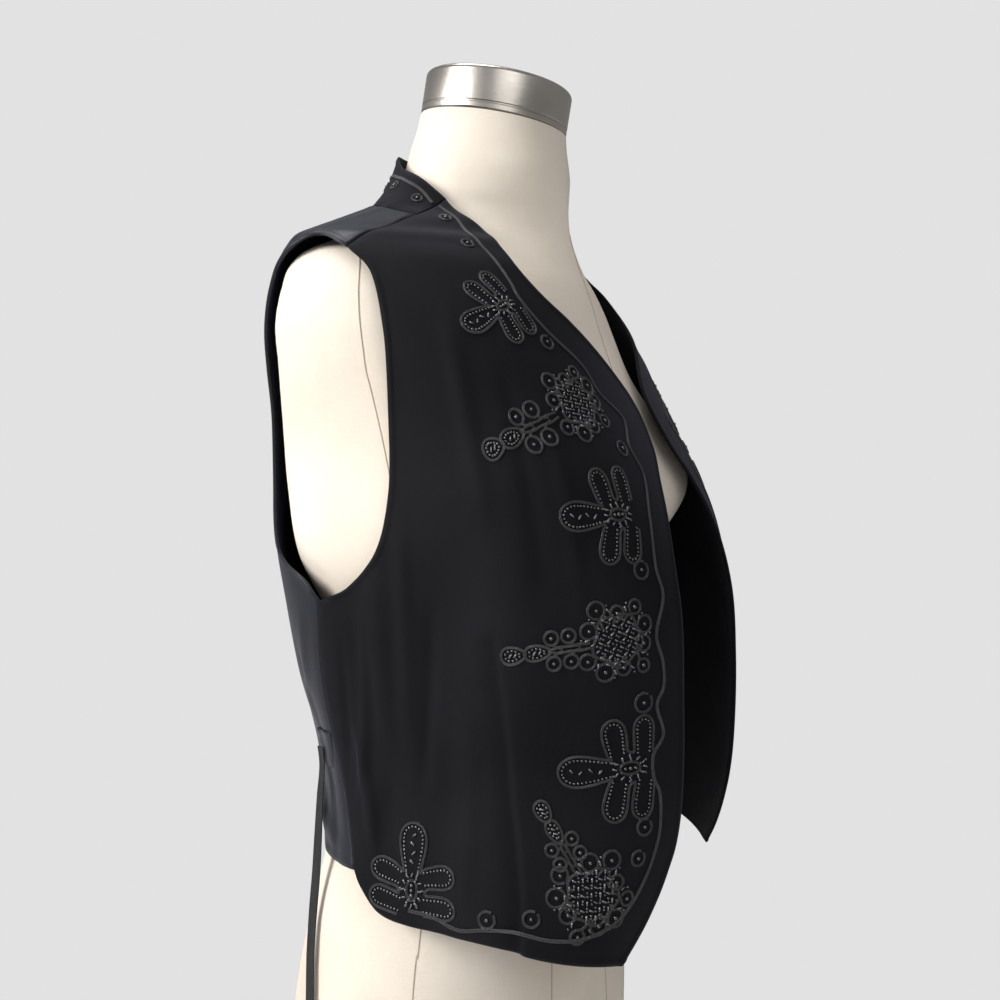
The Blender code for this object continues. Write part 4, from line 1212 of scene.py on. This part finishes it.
def layBraid(name, lines, side, width):
    points, facing, edges, count = [], [], [], 0
    out = panelSettings["wall"] / 2 + stitchSettings["braidHeight"] / 2 - stitchSettings["braidSink"]
    for rows in lines:
        spots, normal = clothPoints(side * rows[:, 1], rows[:, 0], out)
        points.append(spots)
        facing.append(normal)
        edges += [(count + i, count + i + 1) for i in range(len(rows) - 1)]
        count += len(rows)
    points, facing = np.concatenate(points), np.concatenate(facing)
    obj = pointMesh(name + "Lines", points, facing, facing, edges)
    values = {"Width": width, "Height": stitchSettings["braidHeight"], "Finish": braidCord}
    return withTree(name, obj, braidOf, values)


def layBeads(name, groups, side, kind, long=False):
    # round beads sit on points, and bugles between the two ends of a row
    height = stitchSettings["bugleWidth" if long else kind + "Height"]
    out = panelSettings["wall"] / 2 + height * (0.45 if long else 0.42)
    rows = np.concatenate(groups)
    points, normal = clothPoints(side * rows[:, 1], rows[:, 0], out)
    if long:
        heads = points[1::2] - points[::2]
        points, normal = (points[::2] + points[1::2]) / 2, normal[::2]
    else:
        heads = np.roll(points, -1, axis=0) - points + 1e-6
    values = {"Width": stitchSettings[kind + "Width"], "Seed": stitchSettings["beadSeed"]}
    if long:
        values.update({"Length": stitchSettings["bugleLength"], "Variation": 0.15, "Finish": bugleJet})
    else:
        values.update({"Height": height, "Variation": 0.12, "Finish": jet})
    return withTree(name, pointMesh(name + "Spots", points, normal, heads), bugleOf if long else seedOf, values)


braidOf = braidTree()
seedOf = beadTree("seedBeads", False)
bugleOf = beadTree("bugleBeads", True)

for row in palmettes.values():
    makePalmette(*row)
for row in clusters.values():
    makeCluster(*row)
makeBorder(borderLine, borderCurls)
embroidery = {}
for label, side in (("Right", 1), ("Left", -1)):
    embroidery[label] = [
        layBraid("border" + label, borderLines, side, stitchSettings["borderWidth"]),
        layBraid("braid" + label, braidLines, side, stitchSettings["braidWidth"]),
        layBeads("seedBeads" + label, seedSpots, side, "seed"),
        layBeads("jetBeads" + label, jetSpots, side, "jet"),
        layBeads("bugleBeads" + label, bugleSpots, side, "bugle", long=True),
    ]

borderLines, braidLines, jetSpots = [], [], []
makeBorder(bandLine, bandCurls)
wholeBand = np.concatenate([borderLines[0], (borderLines[0] * [1, -1])[-2::-1]])
bothCurls, bothJets = (rows + [row * [1, -1] for row in rows] for rows in (braidLines, jetSpots))
embroidery["Band"] = [
    layBraid("borderBand", [wholeBand], 1, stitchSettings["borderWidth"]),
    layBraid("braidBand", bothCurls, 1, stitchSettings["braidWidth"]),
    layBeads("jetBeadsBand", bothJets, 1, "jet"),
]
print("embroidery laid")

# each piece hides the model's part it stands in for and is attached to the root

for obj, node, slot in (
    (form, "form_torso", "cream_linen"),
    (cap, "neck_cap", "brushed_nickel"),
    (frontRight, "front_right", "black_wool"),
    (frontLeft, "front_left", "black_wool"),
    (back, "back", "black_satin"),
    (band, "neck_band", "black_wool"),
    (beltRight, "belt_right", "black_satin"),
    (beltLeft, "belt_left", "black_satin"),
    (tieRight, "tie_right", "black_ribbon"),
    (tieLeft, "tie_left", "black_ribbon"),
    (embroidery["Right"][0], "border_right", "black_braid"),
    (embroidery["Left"][0], "border_left", "black_braid"),
    (embroidery["Band"][0], "border_band", "black_braid"),
):
    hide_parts(node)
    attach(obj, "root")

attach(formSeams, "root")
for pieces in embroidery.values():
    for obj in pieces[1:]:
        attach(obj, "root")

# floor, surround and light

stageSettings = {
    "grey": 0.76, "floorRadius": 9.0, "floorDrop": 0.0005, "floorGrey": 0.6, "fillLight": 0.30, "aim": (0, 0, 0.42),
    "key": {"place": (-1.45, 1.10, 1.20), "size": 0.9, "power": 48.0},
    "fill": {"place": (-1.7, -1.6, 1.5), "size": 1.6, "power": 15.0},
    "top": {"place": (-0.2, 0.3, 2.3), "size": 1.0, "power": 21.0},
}


def greyOf(level):
    return {"Color": (level, level, level, 1)}


def seenAs(owner, output, seen, seenGrey, other, otherGrey):
    # one grey for the camera's own rays and another for all the rest
    owner.use_nodes = True
    tree = owner.node_tree
    tree.nodes.clear()
    path = nodeOf(tree, "ShaderNodeLightPath").outputs["Is Camera Ray"]
    rest, shown = nodeOf(tree, other, greyOf(otherGrey)), nodeOf(tree, seen, greyOf(seenGrey))
    mix = nodeOf(tree, "ShaderNodeMixShader", {0: path, 1: rest.outputs[0], 2: shown.outputs[0]})
    nodeOf(tree, output, {"Surface": mix.outputs[0]})


def makeFloor():
    mesh = bpy.data.meshes.new("floor")
    work = bmesh.new()
    bmesh.ops.create_circle(work, cap_ends=True, segments=64, radius=stageSettings["floorRadius"])
    work.to_mesh(mesh)
    work.free()
    obj = linked("floor", mesh)
    obj.location.z = -stageSettings["floorDrop"]
    material = bpy.data.materials.new("paleFloor")
    seenAs(material, "ShaderNodeOutputMaterial", "ShaderNodeEmission", stageSettings["grey"],
           "ShaderNodeBsdfDiffuse", stageSettings["floorGrey"])
    mesh.materials.append(material)
    return obj


def makeSurround():
    world = bpy.data.worlds.new("studio")
    bpy.context.scene.world = world
    seenAs(world, "ShaderNodeOutputWorld", "ShaderNodeBackground", stageSettings["grey"],
           "ShaderNodeBackground", stageSettings["fillLight"])


def makeLight(name, place, size, power):
    data = bpy.data.lights.new(name, "AREA")
    data.shape = "DISK"
    data.size = size
    data.energy = power
    light = linked(name, data)
    light.location = place
    x, y, z = np.array(stageSettings["aim"]) - place
    light.rotation_euler = (math.atan2(math.hypot(x, y), -z), 0, math.atan2(y, x) - math.pi / 2)


makeFloor()
makeSurround()
for name in ("key", "fill", "top"):
    makeLight(name + "Light", **stageSettings[name])
bpy.context.scene.view_settings.view_transform = "Standard"
print("studio set")
